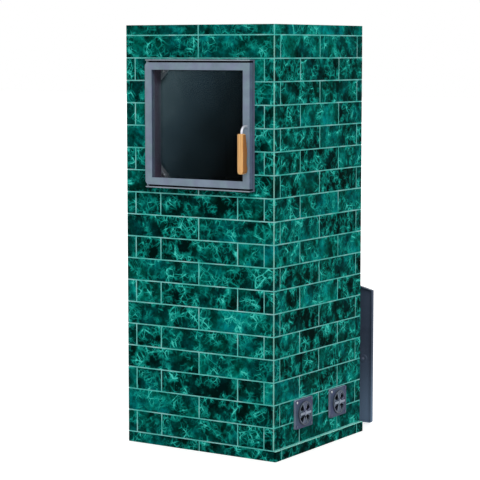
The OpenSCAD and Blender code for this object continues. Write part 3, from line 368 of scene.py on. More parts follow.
def coatedSheet(name, low, high, roughness=0.5, towardsFloor=None):
    # Rolled steel sheet under baked powder paint: even, with a faint orange peel and a little dust
    material, tree, place = startMaterial(name, roughness, 0.10)
    peel = addNode(tree, "TexNoise", {"Vector": place, "Size": sheetLook["peel"], "Detail": 2.0})
    cloud = addNode(tree, "TexNoise", {"Vector": place, "Size": sheetLook["cloud"], "Detail": 4.0,
                                       "Roughness": 0.6})
    both = addNode(tree, "Math", {0: peel, 1: 0.25, 2: cloud}, operation="MULTIPLY_ADD")
    tints = addNode(tree, "ValToRGB", {"Fac": both}, ((0.45, low), (0.80, high)))
    if towardsFloor:  # the sheet turns a lighter blue-grey towards the floor
        height = addNode(tree, "SeparateXYZ", {0: place}, out="Z")
        nearFloor = addNode(tree, "MapRange", {"Value": height, 1: towardsFloor["from"], 2: towardsFloor["to"]},
                        interpolation_type="SMOOTHSTEP")
        tints = addNode(tree, "Mix", {0: nearFloor, 6: tints, 7: colour(towardsFloor["floorTint"])}, out=2, data_type="RGBA")
    bump = addNode(tree, "Bump", {"Height": peel, "Strength": 0.2, "Distance": 0.0003})
    return finishMaterial(material, {"Base Color": tints, "Normal": bump})


plateLook = {
    "scale": 50,  # across a cloud of mill scale or soot
    "pit": 3,     # between pits
    "tints": ((0.30, "#23282c"), (0.48, "#343b40"), (0.60, "#454c50"), (0.72, "#50483f")),
}


def sootedSteel():
    # Hot-rolled plate after many firings: blue-black scale with grey soot clouds and a little brown
    material, tree, place = startMaterial("steel plate hot rolled and sooted", 0.78, 0.10)
    scale = addNode(tree, "TexNoise", {"Vector": place, "Size": plateLook["scale"], "Detail": 6.0,
                                       "Roughness": 0.6})
    tints = addNode(tree, "ValToRGB", {"Fac": scale}, plateLook["tints"])
    pits = addNode(tree, "TexNoise", {"Vector": place, "Size": plateLook["pit"], "Detail": 3.0})
    bump = addNode(tree, "Bump", {"Height": pits, "Strength": 0.4, "Distance": 0.0005})
    return finishMaterial(material, {"Base Color": tints, "Normal": bump})


def metalFinish(name, base, roughness, grain, stretch=(1, 1, 1), metallic=1.0):
    # Bare metal: fine drawn or rolled lines, a grain's width apart, that spread the highlight
    material, tree, place = startMaterial(name, roughness, Metallic=metallic)
    drawn = addNode(tree, "Mapping", {"Vector": place, "Scale": stretch})
    lines = addNode(tree, "TexNoise", {"Vector": drawn, "Size": grain, "Detail": 3.0})
    value = addNode(tree, "MapRange", {"Value": lines, 1: 0.3, 2: 0.7, 3: 0.85, 4: 1.1})
    tint = addNode(tree, "HueSaturation", {"Value": value, "Color": colour(base)})
    rough = addNode(tree, "MapRange", {"Value": lines, 1: 0.3, 2: 0.7,
                                       3: roughness - 0.08, 4: roughness + 0.1})
    return finishMaterial(material, {"Base Color": tint, "Roughness": rough})


glassLook = {
    "across": (-0.17, 0.20), "up": (0.91, 1.28),  # metres, the pane's reach in x and z
    "middle": 1.094,                # metres, its middle height
    "reflectionCloud": 100,                   # across a cloud in the painted reflection
    "hingeEdgeFade": (-0.146, -0.118),  # metres in x, from thin to full painted reflection
    "gusset": (-0.145, 0, 0.170),   # metres, a gusset's corner from the middle height
    "gussetFade": (0.026, 0.052),     # metres round it, from thin to full painted reflection
    # from bare dark glass to the full painted reflection
    "tints": ((0.0, "#010304"), (0.35, "#121e23"), (0.65, "#2b3c44"), (1.0, "#4d6269")),
}


def glassWithPaintedReflection():
    # Rolled ceramic glass: almost black over the dark bin, under a grey painted reflection from one upper
    # corner
    material, tree, place = startMaterial("ceramic glass rolled", 0.08, 0.02, IOR=1.5)
    look = glassLook
    x, _, z = addNode(tree, "SeparateXYZ", {0: place}, out=None)
    left, right = look["across"]
    bottom, top = look["up"]
    across = addNode(tree, "MapRange", {"Value": x, 1: left, 2: right, 3: 1.24, 4: 0.0})
    up = addNode(tree, "MapRange", {"Value": z, 1: bottom, 2: top, 3: 0.0, 4: 0.76})
    corner = addNode(tree, "Math", {0: across, 1: up}, operation="ADD")
    reflectionCloud = addNode(tree, "TexNoise", {"Vector": place, "Size": look["reflectionCloud"], "Detail": 4.0})
    cloudy = addNode(tree, "Math", {0: reflectionCloud, 1: 0.45, 2: corner}, operation="MULTIPLY_ADD")
    reflectionLevel = addNode(tree, "MapRange", {"Value": cloudy, 1: 0.58, 2: 2.02})
    tints = addNode(tree, "ValToRGB", {"Fac": reflectionLevel}, look["tints"])
    cover = addNode(tree, "MapRange", {"Value": reflectionLevel, 3: 0.80, 4: 0.42})
    edge = addNode(tree, "MapRange", {"Value": x, 1: look["hingeEdgeFade"][0], 2: look["hingeEdgeFade"][1], 3: 0.18},
                   interpolation_type="SMOOTHSTEP")  # the painted reflection thins out at the hinge side's edge
    level = addNode(tree, "Math", {0: z, 1: look["middle"]}, operation="SUBTRACT")
    level = addNode(tree, "Math", {0: level}, operation="ABSOLUTE")
    spot = addNode(tree, "CombineXYZ", {0: x, 2: level})
    near = addNode(tree, "VectorMath", {0: spot, 1: look["gusset"]}, out="Value", operation="DISTANCE")
    ring = addNode(tree, "MapRange", {"Value": near, 1: look["gussetFade"][0], 2: look["gussetFade"][1], 3: 0.20},
                   interpolation_type="SMOOTHSTEP")  # and in front of the gussets' corners
    for thinning in (edge, ring):
        cover = addNode(tree, "Math", {0: cover, 1: thinning}, operation="MULTIPLY")
    return finishMaterial(material, {"Base Color": tints, "Alpha": cover})


beechLook = {
    "pore": 1.8,    # between pores, across the grain
    "rings": 55.0,  # wave scale, a ring every 5.7 mm
    "tints": ((0.15, "#b2783a"), (0.50, "#cb9352"), (0.95, "#d9a463"), (1.0, "#e6bb82")),
    # colours of the painted shade on the sides, the painted highlight on one front edge and the painted shade
    # behind
    "shadedSideTint": "#8c5c30", "highlightTint": "#f2d2a6", "shadeTint": "#1c1210",
}


def oiledBeech():
    # Beech, shaped and oiled: warm straw colour, fine long grain and short ray flecks, with painted shade on
    # the sides
    material, tree, place = startMaterial("beech shaped and oiled", 0.42, 0.25)
    along = addNode(tree, "Mapping", {"Vector": place, "Scale": (1, 1, 0.07)})
    grain = addNode(tree, "TexNoise", {"Vector": along, "Size": beechLook["pore"], "Detail": 4.0,
                                       "Distortion": 0.4})
    rings = addNode(tree, "TexWave", {"Vector": along, "Scale": beechLook["rings"], "Distortion": 5.0,
                                      "Detail": 2.0}, out="Fac", bands_direction="X")
    figure = addNode(tree, "Math", {0: grain, 1: 0.6, 2: rings}, operation="MULTIPLY_ADD")
    tint = addNode(tree, "ValToRGB", {"Fac": figure}, beechLook["tints"])
    # the first mark gives painted shade on the grip's sides
    sawn, highlightAndShade = (addNode(tree, "Attribute", out="Fac", attribute_name=mark) for mark in ("side", "highlightAndShade"))
    backShade = addNode(tree, "Math", {0: highlightAndShade, 1: -1.0}, operation="MULTIPLY")  # below 0 the mark means painted shade, above 0 painted highlight
    for share, over in ((sawn, "shadedSideTint"), (highlightAndShade, "highlightTint"), (backShade, "shadeTint")):
        tint = addNode(tree, "Mix", {0: share, 6: tint, 7: colour(beechLook[over])}, out=2, data_type="RGBA")
    bump = addNode(tree, "Bump", {"Height": grain, "Strength": 0.2, "Distance": 0.0003})
    return finishMaterial(material, {"Base Color": tint, "Normal": bump})


ropeLook = {
    "yarns": 110.0,  # wave scale, a yarn every 2.9 mm
    "tints": ((0.0, "#6f6b62"), (0.5, "#b9b4a6"), (1.0, "#d8d4c8")),
}


def braidedRope():
    # Glass-fibre packing, braided: off-white yarns that cross in a small diamond pattern
    material, tree, place = startMaterial("glass fibre rope braided", 0.95, **{"Sheen Weight": 0.3})
    turned = addNode(tree, "Mapping", {"Vector": place, "Rotation": (0, radians(45), 0)})
    ply, cross = (addNode(tree, "TexWave", {"Vector": turned, "Scale": ropeLook["yarns"], "Distortion": 0.6},
                          out="Fac", bands_direction=way) for way in ("X", "Z"))
    weave = addNode(tree, "Math", {0: ply, 1: cross}, operation="MULTIPLY")
    tints = addNode(tree, "ValToRGB", {"Fac": weave}, ropeLook["tints"])
    bump = addNode(tree, "Bump", {"Height": weave, "Strength": 0.8, "Distance": 0.001})
    return finishMaterial(material, {"Base Color": tints, "Normal": bump})


chamotteLook = {
    "grog": 4,     # between grains
    "sooty": 120,  # across a sooted patch
    "tints": ((0.10, "#6e5338"), (0.35, "#b8946a"), (0.9, "#cfb08a")),
    "sootAndShade": "#2b2622",
}


def firedBrick():
    # Chamotte, pressed and fired: sandy buff with dark grog grains, sooted in clouds
    material, tree, place = startMaterial("chamotte pressed and fired", 0.92, 0.2)
    look = chamotteLook
    grog = addNode(tree, "TexVoronoi", {"Vector": place, "Size": look["grog"]})
    sooty = addNode(tree, "TexNoise", {"Vector": place, "Size": look["sooty"], "Detail": 5.0})
    black = addNode(tree, "MapRange", {"Value": sooty, 1: 0.38, 2: 0.62, 3: 0.75, 4: 0.05})
    clay = addNode(tree, "ValToRGB", {"Fac": grog}, look["tints"])
    tint = addNode(tree, "Mix", {0: black, 6: clay, 7: colour(look["sootAndShade"])}, out=2, data_type="RGBA")
    bump = addNode(tree, "Bump", {"Height": grog, "Strength": 0.5, "Distance": 0.0008})
    return finishMaterial(material, {"Base Color": tint, "Normal": bump})


serpentine = polishedSerpentine()
mortar = pointedMortar()
# The second colour is painted shade on the edges of the door's leaf and frame, and painted highlight on the
# vents' edges, screws and pivots
doorPaint = sprayedCasting("grey iron cast and sprayed", "#778695", "#58667b")
framePaint = sprayedCasting("grey iron cast and sprayed, frame", "#86929d", "#5b6376")
ventPaint = sprayedCasting("grey iron cast and sprayed, vents", "#3f4b62", "#919bab")
rawIron = sprayedCasting("grey iron cast, bare", "#3a3a3d", "#333336", 0.75)
portalPaint = coatedSheet("steel sheet powder painted", "#384253", "#434d5f",
                          towardsFloor={"from": 0.30, "to": 0.02, "floorTint": "#5b6f86"})  # heights in metres
shellPaint = coatedSheet("steel plate painted for heat", "#26292f", "#33373e", 0.6)
throatPaint = coatedSheet("throat sheet painted for heat", "#4e4658", "#5a5263", 0.6)
chamberSteel = sootedSteel()
zincDull = coatedSheet("steel sheet dipped in zinc, dulled", "#7d848b", "#9aa0a6", 0.7)
zinc = metalFinish("steel zinc plated", "#b9bcc0", 0.38, 4)
stainless = metalFinish("stainless steel drawn", "#c9cbd4", 0.45, 0.8, (1, 1, 0.1), 0.6)
glass = glassWithPaintedReflection()
beech = oiledBeech()
rope = braidedRope()
chamotte = firedBrick()
print("materials made")


# Stone jacket: every brick keeps its place and gets a soft arris and its own cut of the block
jacket = {
    "arris": 0.9,                         # mm of rounding on each brick
    "cutSpread": 2.5,                     # metres that the cuts lie apart in the block
    "toneLow": -0.17, "toneHigh": 0.12,   # how much darker or lighter a brick may be
    "proudTone": -0.22,                   # tone of the plinth's end that stands proud, in the shade
    "honedHighlight": 0.4, "honedReach": 0.004,    # how pale the jacket's honed corners are with their painted highlight, and metres that they take up
    "seed": 11,
}
random.seed(jacket["seed"])
low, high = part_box("front_stones")
jacketX, jacketY = high.x, -low.y
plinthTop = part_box("plinth_stones")[1].z


def islands(mesh):  # for each face, the lowest vertex of the loose body that it belongs to
    parent = list(range(len(mesh.vertices)))

    def root(i):
        while parent[i] != i:
            parent[i] = parent[parent[i]]
            i = parent[i]
        return i

    for edge in mesh.edges:
        a, b = (root(i) for i in edge.vertices)
        if a != b:
            parent[max(a, b)] = min(a, b)
    return [root(face.vertices[0]) for face in mesh.polygons]


def plinthLedgeHighlight(c, n, _):  # painted highlight along the top of the ledge
    return n.z > 0.9 and c.z > plinthTop - 0.001 and (c.x > jacketX or c.y > jacketY)


def brickArris(c, n, _):  # the honed rounding on the jacket's four corners, pale with a painted highlight
    nearCorner = abs(c.x) > jacketX - jacket["honedReach"] and abs(c.y) > jacketY - jacket["honedReach"]
    return jacket["honedHighlight"] if abs(n.x) > 0.5 and abs(n.y) > 0.5 and nearCorner else 0


def dressStones(node, name):
    piece = soften(node, name, jacket["arris"])
    plinth = node == "plinth_stones"
    if plinth:  # parted where its front runs past the right side
        editAll(piece)
        bpy.ops.mesh.bisect(plane_co=(jacketX, 0, 0), plane_no=(1, 0, 0))
        letGo()
    owners = islands(piece.data)
    cuts, tones = {}, {}
    for owner in sorted(set(owners)):
        cuts[owner] = [random.uniform(-jacket["cutSpread"], jacket["cutSpread"]) for _ in range(3)]
        tones[owner] = random.uniform(jacket["toneLow"], jacket["toneHigh"])
    vectors = piece.data.attributes.new("stoneCut", "FLOAT_VECTOR", "FACE")
    vectors.data.foreach_set("vector", [v for owner in owners for v in cuts[owner]])
    shades = piece.data.attributes.new("stoneTone", "FLOAT", "FACE")
    shades.data.foreach_set("value", [
        jacket["proudTone"] if plinth and f.center.x > jacketX and f.normal.y < -0.5 else tones[owner]
        for f, owner in zip(piece.data.polygons, owners)])
    faceMark(piece, "arris", plinthLedgeHighlight if plinth else brickArris)
    return hang(piece, "stove", serpentine, "stone", node)


stoneNames = {"plinth_stones": "plinthStones", "front_stones": "frontBricks", "right_stones": "rightBricks",
              "left_stones": "leftBricks", "rear_stones": "rearBricks", "cap_stones": "capStones"}
for node, name in stoneNames.items():
    dressStones(node, name)
for node in ("bed_mortar", "head_mortar"):
    cadNodes[node].data.materials.clear()
    cadNodes[node].data.materials.append(mortar)
print("jacket dressed")


# Plain sheet and cast parts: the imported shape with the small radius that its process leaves
plainParts = (  # body, finish, slot, radius in mm, and the name for each node
    ("stove", shellPaint, "shell_steel", 0.8, {"base_frame": "baseFrame"}),
    ("stove", shellPaint, "shell_steel", 0.6, {
        "heater_floor": "heaterFloor", "heater_sides": "heaterSides", "heater_front": "heaterFront",
        "heater_rear": "heaterRear", "heater_top": "heaterTop", "flue_collar": "flueCollar",
        "top_cover": "topCover", "cover_lugs": "coverLugs"}),
    ("stove", shellPaint, "shell_steel", 0.4, {"vent_ducts": "ventDucts"}),
    ("stove", chamberSteel, "shell_steel", 0.6, {
        "grate_shelf": "grateShelf", "stone_chamber": "stoneChamber"}),
    ("stove", rawIron, "grate_iron", 0.8, {"grate": "fireGrate"}),
    ("stove", chamotte, "firebrick", 1.2, {"lining_bricks": "liningBricks", "flame_baffle": "flameBaffle"}),
    ("stove", throatPaint, "shell_steel", 0.8, {"throat": "throatSheet"}),
    ("stove", zincDull, "zinc", 0.6, {"throat_gussets": "throatGussets"}),
    ("stove", framePaint, "cast_iron", 0.7, {"door_frame": "doorFrame"}),
    ("stove", zinc, "zinc", 0.4, {"latch_keeper": "latchKeeper"}),
    ("stove", ventPaint, "portal_steel", 0.7, {"vent_plates": "ventPlates"}),
    ("stove", shellPaint, "portal_steel", 0.6, {"fuel_channel": "fuelChannel"}),
    ("stove", portalPaint, "portal_steel", 1.1, {"portal_plate": "portalPlate"}),
    ("stove", portalPaint, "portal_steel", 0.8, {"fuel_hinge_brackets": "fuelHingeBrackets"}),
    ("stove", zinc, "zinc", 0.6, {"fuel_keeper": "fuelKeeper"}),
    ("door", doorPaint, "cast_iron", 1.1, {"door_leaf": "doorLeaf"}),
    ("door", glass, "door_glass", 0.4, {"door_glass": "doorGlass"}),
    ("door", rope, "rope", 0.3, {"glass_gasket": "glassTape"}),
    ("door", zinc, "zinc", 0.4, {"glass_clips": "glassClips"}),
    ("door", doorPaint, "zinc", 0.4, {"handle_bush": "handleBush"}),
    ("door_handle", zinc, "zinc", 0.4, {"latch_cam": "latchCam", "handle_nut": "handleNut"}),
    ("vent_front", ventPaint, "portal_steel", 0.6, {"vent_disc_front": "ventRosetteFront"}),
    ("vent_rear", ventPaint, "portal_steel", 0.6, {"vent_disc_rear": "ventRosetteRear"}),
    ("fuel_door", portalPaint, "portal_steel", 1.2, {"fuel_door_leaf": "fuelDoorLeaf"}),
    ("fuel_door", chamberSteel, "shell_steel", 0.6, {"fuel_door_shield": "fuelDoorShield"}),
    ("fuel_handle", zinc, "zinc", 0.7, {"fuel_latch_bar": "fuelLatchBar"}),
    ("ash_drawer", shellPaint, "shell_steel", 0.5, {"ash_tray": "ashTray", "ash_tray_ends": "ashTrayEnds"}),
    ("ash_drawer", portalPaint, "portal_steel", 1.1, {"ash_front": "ashFront"}),
)
ventLook = {  # metres
    "centres": ((-0.1075, 0.134), (0.1195, 0.134)),  # y and z of the two vents
    "rim": 0.0355, "hole": 0.036,      # radius where the disc's rim starts, and of the hole in the plate
    "discFace": 0.0035, "barFoot": 0.009,  # height over the plate of the disc's face and of the bar's foot
    "barDrop": 0.0055,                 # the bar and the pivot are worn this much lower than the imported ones
    "screwY": 0.046, "screwZ": 0.041,  # the screws from the vent's centre
    "screwHead": 0.0044,
    "pivot": 0.004, "pivotHead": 0.0064, "pivotCap": 0.002,
}
doorShade = {  # metres
    "leafEdge": 0.19, "opening": 0.2,  # from the door's middle height to the leaf's ends and the opening's
    "recess": 0.015,                   # behind the frame's front
    "lip": 0.0105,                     # before the frame's back
}
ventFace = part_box("vent_plates")[1].x
frameLow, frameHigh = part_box("door_frame")
leafLow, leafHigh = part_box("door_leaf")
doorZ = (leafLow.z + leafHigh.z) / 2


def fromVent(c):  # distance from the nearest vent's axis
    return min(hypot(c.y - y, c.z - z) for y, z in ventLook["centres"])


# painted highlight on the plate's top, its front and its rounded edges
def plateSide(c, n, _):
    return 0.9 if n.z > 0.5 else 0.45 if n.y < -0.5 else 0.7 * (0.2 < abs(n.x) < 0.9)


def plateShade(c, n, _):  # painted shade on the wall of the hole
    return abs(n.x) < 0.3 and fromVent(c) < ventLook["hole"]


def discSide(c, n, _):  # painted highlight on the faces of the bar and the ribs; the rest takes a little of the lighter colour
    return 1.0 if c.x > ventFace + ventLook["discFace"] and n.x > 0.3 else 0.18


def discShade(c, n, corners):
    # painted shade in the gap round the rim
    if min(fromVent(p) for p in corners) > ventLook["rim"]:
        return 0.60
    if abs(n.x) < 0.3:  # painted shade on the walls of the openings, then on the flanks of the bar and the ribs
        return 1.0 if c.x < ventFace + ventLook["discFace"] else 0.45
    return 0.0


def leafShade(c, n, _):  # painted shade on its upper and lower ends, in the gap
    return abs(n.z) > 0.7 and abs(c.z - doorZ) > doorShade["leafEdge"]


def frameShade(c, n, _):  # painted shade on what lies behind the leaf, and on the opening's upper and lower walls
    above = c.z - doorZ
    inwards = abs(n.z) > 0.7 and n.z * above < 0 and abs(above) > doorShade["opening"]
    return (n.y < -0.9 and c.y > frameLow.y + doorShade["recess"]) \
        or (inwards and c.y < frameHigh.y - doorShade["lip"])


# faces turned sideways take the paint's darker second colour as painted shade
def edgewise(c, n, _):
    return abs(n.y) < 0.4


shading = {  # how far a face takes its paint's second colour, and how far the dark colour of painted shade
    "door_leaf": (edgewise, leafShade),
    "door_frame": (edgewise, frameShade),
    "vent_plates": (plateSide, plateShade),
    "vent_disc_front": (discSide, discShade),
    "vent_disc_rear": (discSide, discShade),
}
for body, material, slot, radius, parts in plainParts:
    for node, name in parts.items():
        piece = soften(node, name, radius)
        if node in ("vent_disc_front", "vent_disc_rear"):
            editChosen(piece, "EDGE", lambda a, b: min(a.x, b.x) > ventFace + ventLook["barFoot"])
            bpy.ops.transform.translate(value=(-ventLook["barDrop"], 0, 0))
            letGo()
        for mark, value in zip(("side", "sootAndShade"), shading.get(node, ())):
            faceMark(piece, mark, value)
        hang(piece, body, material, slot, node)
print("sheet and cast parts dressed")


# Round stock: bars, pins and screw blanks that start at a place and run one way
ways = {  # direction, and the turn in degrees that lays a cylinder along it
    "X": ((1, 0, 0), (0, 90, 0)), "-X": ((-1, 0, 0), (0, -90, 0)),
    "Y": ((0, 1, 0), (-90, 0, 0)), "-Y": ((0, -1, 0), (90, 0, 0)),
    "Z": ((0, 0, 1), (0, 0, 0)),
}


def roundStock(name, place, way, radius, length, sides=24, chamfer=0.4):  # metres, and mm for the chamfer
    direction, turn = ways[way]
    letGo()
    bpy.ops.mesh.primitive_cylinder_add(vertices=sides, radius=radius, depth=length,
                                        rotation=[radians(angle) for angle in turn],
                                        location=Vector(place) + Vector(direction) * length / 2)
    return smooth(weld(eased(named(settle(bpy.context.object), name), chamfer)))


def endFace(piece, direction, thickness, depth):  # inset the end that looks one way and push it in or out
    towards = Vector(direction)
    reach = max(towards.dot(v.co) for v in piece.data.vertices)
    editChosen(piece, "FACE", lambda c, n: n.dot(towards) > 0.99 and towards.dot(c) > reach - 0.0002)
    bpy.ops.mesh.inset(thickness=thickness)
    bpy.ops.transform.translate(value=towards * depth)
    letGo()
    return piece


def extrude(offset):
    bpy.ops.mesh.extrude_region_move(TRANSFORM_OT_translate={"value": offset})


def closeTube(piece, name):  # after its bends: doubles merged, ends closed, faces outwards
    bpy.ops.mesh.select_all(action="SELECT")
    bpy.ops.mesh.remove_doubles(threshold=0.00001)
    bpy.ops.mesh.fill_holes(sides=0)
    bpy.ops.mesh.normals_make_consistent(inside=False)
    letGo()
    return named(piece, name)


# Bent rods: a spindle out of the leaf, a quarter bend and the leg that carries the grip
rodLook = {  # metres
    "door": (0.209, 1.094), "fuelDoor": (0.110, 0.328),  # x and z of the two spindles
    "radius": 0.004, "sides": 24, "bendSteps": 10,
    "outset": 0.030, "bend": 0.0205, "leg": 0.0435,
    "collar": 0.008, "collarThick": 0.0016, "collarSunk": 0.0056,
}


def bentRod(name, place, back, leafFace, towards):
    x, z = place
    turnY = leafFace + towards * (rodLook["outset"] - rodLook["bend"])
    letGo()
    bpy.ops.mesh.primitive_circle_add(vertices=rodLook["sides"], radius=rodLook["radius"],
                                      rotation=(radians(90), 0, 0), location=(x, back, z))
    piece = settle(bpy.context.object)
    editAll(piece)
    extrude((0, turnY - back, 0))
    bpy.ops.mesh.spin(steps=rodLook["bendSteps"], angle=radians(90) * towards,
                      center=(x, turnY, z - rodLook["bend"]), axis=(1, 0, 0))
    extrude((0, 0, -rodLook["leg"]))
    return smooth(eased(closeTube(piece, name), 0.5))


doorRod = bentRod("handleRod", rodLook["door"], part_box("handle_rod")[1].y, leafLow.y, -1)
hang(doorRod, "door_handle", stainless, "zinc", "handle_rod")
fuelX, fuelZ = rodLook["fuelDoor"]
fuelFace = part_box("fuel_door_leaf")[1].y
fuelRod = bentRod("fuelHandleRod", rodLook["fuelDoor"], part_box("fuel_handle_rod")[0].y, fuelFace, 1)
collar = roundStock("fuelHandleCollar", (fuelX, fuelFace - rodLook["collarSunk"], fuelZ), "Y",
                    rodLook["collar"], rodLook["collarThick"], 24, 0.3)
hang(joined([fuelRod, collar], "fuelHandleRod"), "fuel_handle", stainless, "zinc", "fuel_handle_rod")


# Wooden grips: flat front, hand-shaped back, round lower end
gripLook = {  # metres
    "block": 0.030,  # thickness of the wood before it is shaped, then after it for shares of the height
    "backs": ((1.0, 0.0195), (0.88, 0.0215), (0.74, 0.0250), (0.60, 0.0280), (0.50, 0.0286), (0.40, 0.0270),
              (0.30, 0.0257), (0.22, 0.0272), (0.16, 0.0300), (0.10, 0.0298), (0.0, 0.0270)),
    "lowerRound": 0.47, "upperRound": 0.004,  # a share of the width, and metres
    "edge": 3.4,  # mm
}


def woodenGrip(name, node, body, towards):
    low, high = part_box(node)
    block, front = gripLook["block"], low.y if towards < 0 else high.y
    width, length = high.x - low.x, high.z - low.z
    letGo()
    bpy.ops.mesh.primitive_cube_add(size=1, location=((low.x + high.x) / 2, front - towards * block / 2,
                                                      (low.z + high.z) / 2))
    piece = bpy.context.object
    piece.scale = (width, block, length)
    editAll(settle(piece))
    for share, _ in gripLook["backs"][1:-1]:
        bpy.ops.mesh.select_all(action="SELECT")
        bpy.ops.mesh.bisect(plane_co=(0, 0, low.z + share * length), plane_no=(0, 0, 1))
    for share, thick in gripLook["backs"]:
        level = low.z + share * length
        editChosen(piece, "VERT", lambda co: abs(co.z - level) < 0.0001 and abs(co.y - front) > 0.01)
        bpy.ops.transform.translate(value=(0, towards * (block - thick), 0))
    rounds = ((low.z, width * gripLook["lowerRound"], 8), (high.z, gripLook["upperRound"], 3))
    for end, offset, segments in rounds:  # on the two edges of an end that run from front to back
        editChosen(piece, "EDGE", lambda a, b: abs(a.x - b.x) < 1e-6 and abs(a.z - b.z) < 1e-6
                   and abs(a.z - end) < 0.0001)
        bpy.ops.mesh.bevel(offset=offset, segments=segments, affect="EDGES")
    named(weld(eased(piece, gripLook["edge"], 3, 50)), name)
    # painted shade on the grip's sides
    faceMark(piece, "side", lambda c, n, _: abs(n.x) > 0.75)
    faceMark(piece, "highlightAndShade", lambda c, n, _: 0.6 if n.x < -0.3 and n.y * towards > 0.3
             else -0.85 if n.y * towards < -0.3 else 0)  # painted highlight on one front edge, painted shade behind
    return hang(smooth(piece, 50), body, beech, "grip_wood", node)


woodenGrip("handleGrip", "handle_grip", "door_handle", -1)
woodenGrip("fuelHandleGrip", "fuel_handle_grip", "fuel_handle", 1)

# Rope seals, their edges rounded by almost half their thickness in mm
for node, name, body, radius in (("door_seal", "doorRope", "stove", 1.8),
                                 ("fuel_door_seal", "fuelDoorRope", "fuel_door", 3.0)):
    hang(soften(node, name, radius, 4), body, rope, "rope", node)
print("rods, grips and ropes made")


# Throat bolts: hexagon head, shank and nut through each gusset
boltLook = {  # metres
    "placesX": (-0.167, 0.188), "placesZ": (0.9195, 1.2695), "headY": -0.250, "nutY": -0.242,
    "hexagon": 0.0075, "headHigh": 0.0034, "nutHigh": 0.006, "shank": 0.004, "shankLong": 0.016,
}
bolts = []
for x, z in ((x, z) for z in boltLook["placesZ"] for x in boltLook["placesX"]):
    head = roundStock("boltHead", (x, boltLook["headY"], z), "-Y", boltLook["hexagon"],
                      boltLook["headHigh"], 6, 0.25)
    nut = roundStock("boltNut", (x, boltLook["nutY"], z), "Y", boltLook["hexagon"],
                     boltLook["nutHigh"], 6, 0.25)
    shank = roundStock("boltShank", (x, boltLook["headY"] - 0.001, z), "Y", boltLook["shank"],
                       boltLook["shankLong"], 20, 0.5)
    bolts += [endFace(head, (0, -1, 0), 0.0010, 0.0006), nut, shank]
hang(joined(bolts, "throatBolts"), "stove", zinc, "zinc", "throat_bolts")


# Pan screws with a cross recess, along X or Y
crossArms = ((1.2, 0.26), (0.26, 1.2))  # shares of the head's radius


def panScrew(name, way, radius, height, shank):
    head = roundStock(name, (0, 0, 0), way, radius, height, 24, height * 600)
    cutters = []
    for one, other in crossArms:
        letGo()
        bpy.ops.mesh.primitive_cube_add(size=1, location=Vector(ways[way][0]) * height)
        cutter = bpy.context.object
        one, other = radius * one, radius * other
        cutter.scale = (height, one, other) if way == "X" else (one, height, other)
        cutters.append(settle(cutter))
    for cutter in cutters:
        applied(head, "BOOLEAN", operation="DIFFERENCE", object=cutter, solver="EXACT")
        bpy.data.objects.remove(cutter)
    stem = roundStock(name + "Stem", (0, 0, 0), "-" + way, shank, 0.006, 16, 0.2)
    return smooth(joined([weld(head), stem], name), 40)


# Vent screws: the paint is worn off the one at each plate's upper front corner
painted = panScrew("ventScrew", "X", ventLook["screwHead"], 0.0018, 0.0021)
# painted highlight on the faces of the painted heads
faceMark(painted, "side", lambda c, n, _: 0.3 * (n.x > 0.5))
bare = copied(painted, "ventScrewBare")
for first, name, finish, corners in ((bare, "ventScrewsBare", zinc, ((-1, 1),)),
                                     (painted, "ventScrewsPainted", ventPaint, ((1, 1), (-1, -1), (1, -1)))):
    spots = [(ventFace, y + i * ventLook["screwY"], z + j * ventLook["screwZ"])
             for y, z in ventLook["centres"] for i, j in corners]
    hang(repeated(first, name, spots), "stove", finish, "zinc", "vent_screws")

# Pivots of the rosettes
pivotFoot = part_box("vent_pivots")[1].x - ventLook["barDrop"] - ventLook["pivotCap"]
pin = roundStock("pivotPin", (jacketX, 0, 0), "X", ventLook["pivot"], pivotFoot - jacketX, 24, 0.3)
head = roundStock("pivotHead", (pivotFoot, 0, 0), "X", ventLook["pivotHead"], ventLook["pivotCap"], 32, 1.1)
pivots = repeated(joined([pin, head], "ventPivot"), "ventPivots", [(0, y, z) for y, z in ventLook["centres"]])
# painted highlight on the faces of the pivot heads; the rest takes some of the lighter colour
faceMark(pivots, "side", lambda c, n, _: 1.0 if n.x > 0.7 else 0.4)
hang(pivots, "stove", ventPaint, "zinc", "vent_pivots")

# Screws of the glass clips
clipLook = {  # metres
    "middleX": 0.0135, "stepX": 0.135, "rowsZ": (0.9020, 1.2860),  # three above and three below the glass
    "sideX": 0.2065, "sideZ": 0.1215,                              # two beside it, from the handle's height
    "head": 0.0045, "headHigh": 0.002, "shank": 0.0025,
}
spots = [(clipLook["middleX"] + k * clipLook["stepX"], z) for k in (-1, 0, 1) for z in clipLook["rowsZ"]]
spots += [(clipLook["sideX"], rodLook["door"][1] + side * clipLook["sideZ"]) for side in (-1, 1)]
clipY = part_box("glass_screws")[1].y - clipLook["headHigh"]
first = panScrew("clipScrew", "Y", clipLook["head"], clipLook["headHigh"], clipLook["shank"])
hang(repeated(first, "glassScrews", [(x, clipY, z) for x, z in spots]), "door", zinc, "zinc", "glass_screws")

# Hinge pins of the glazed door and of the fuel door
hingeLook = {"place": (-0.1895, -0.3075), "radius": 0.004, "length": 0.040}  # metres
low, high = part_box("door_hinge_pins")
pin = roundStock("hingePin", (*hingeLook["place"], 0), "Z", hingeLook["radius"], hingeLook["length"], 24, 0.6)
spots = [(0, 0, low.z), (0, 0, high.z - hingeLook["length"])]
hang(repeated(pin, "doorHingePins", spots), "door", framePaint, "zinc", "door_hinge_pins")

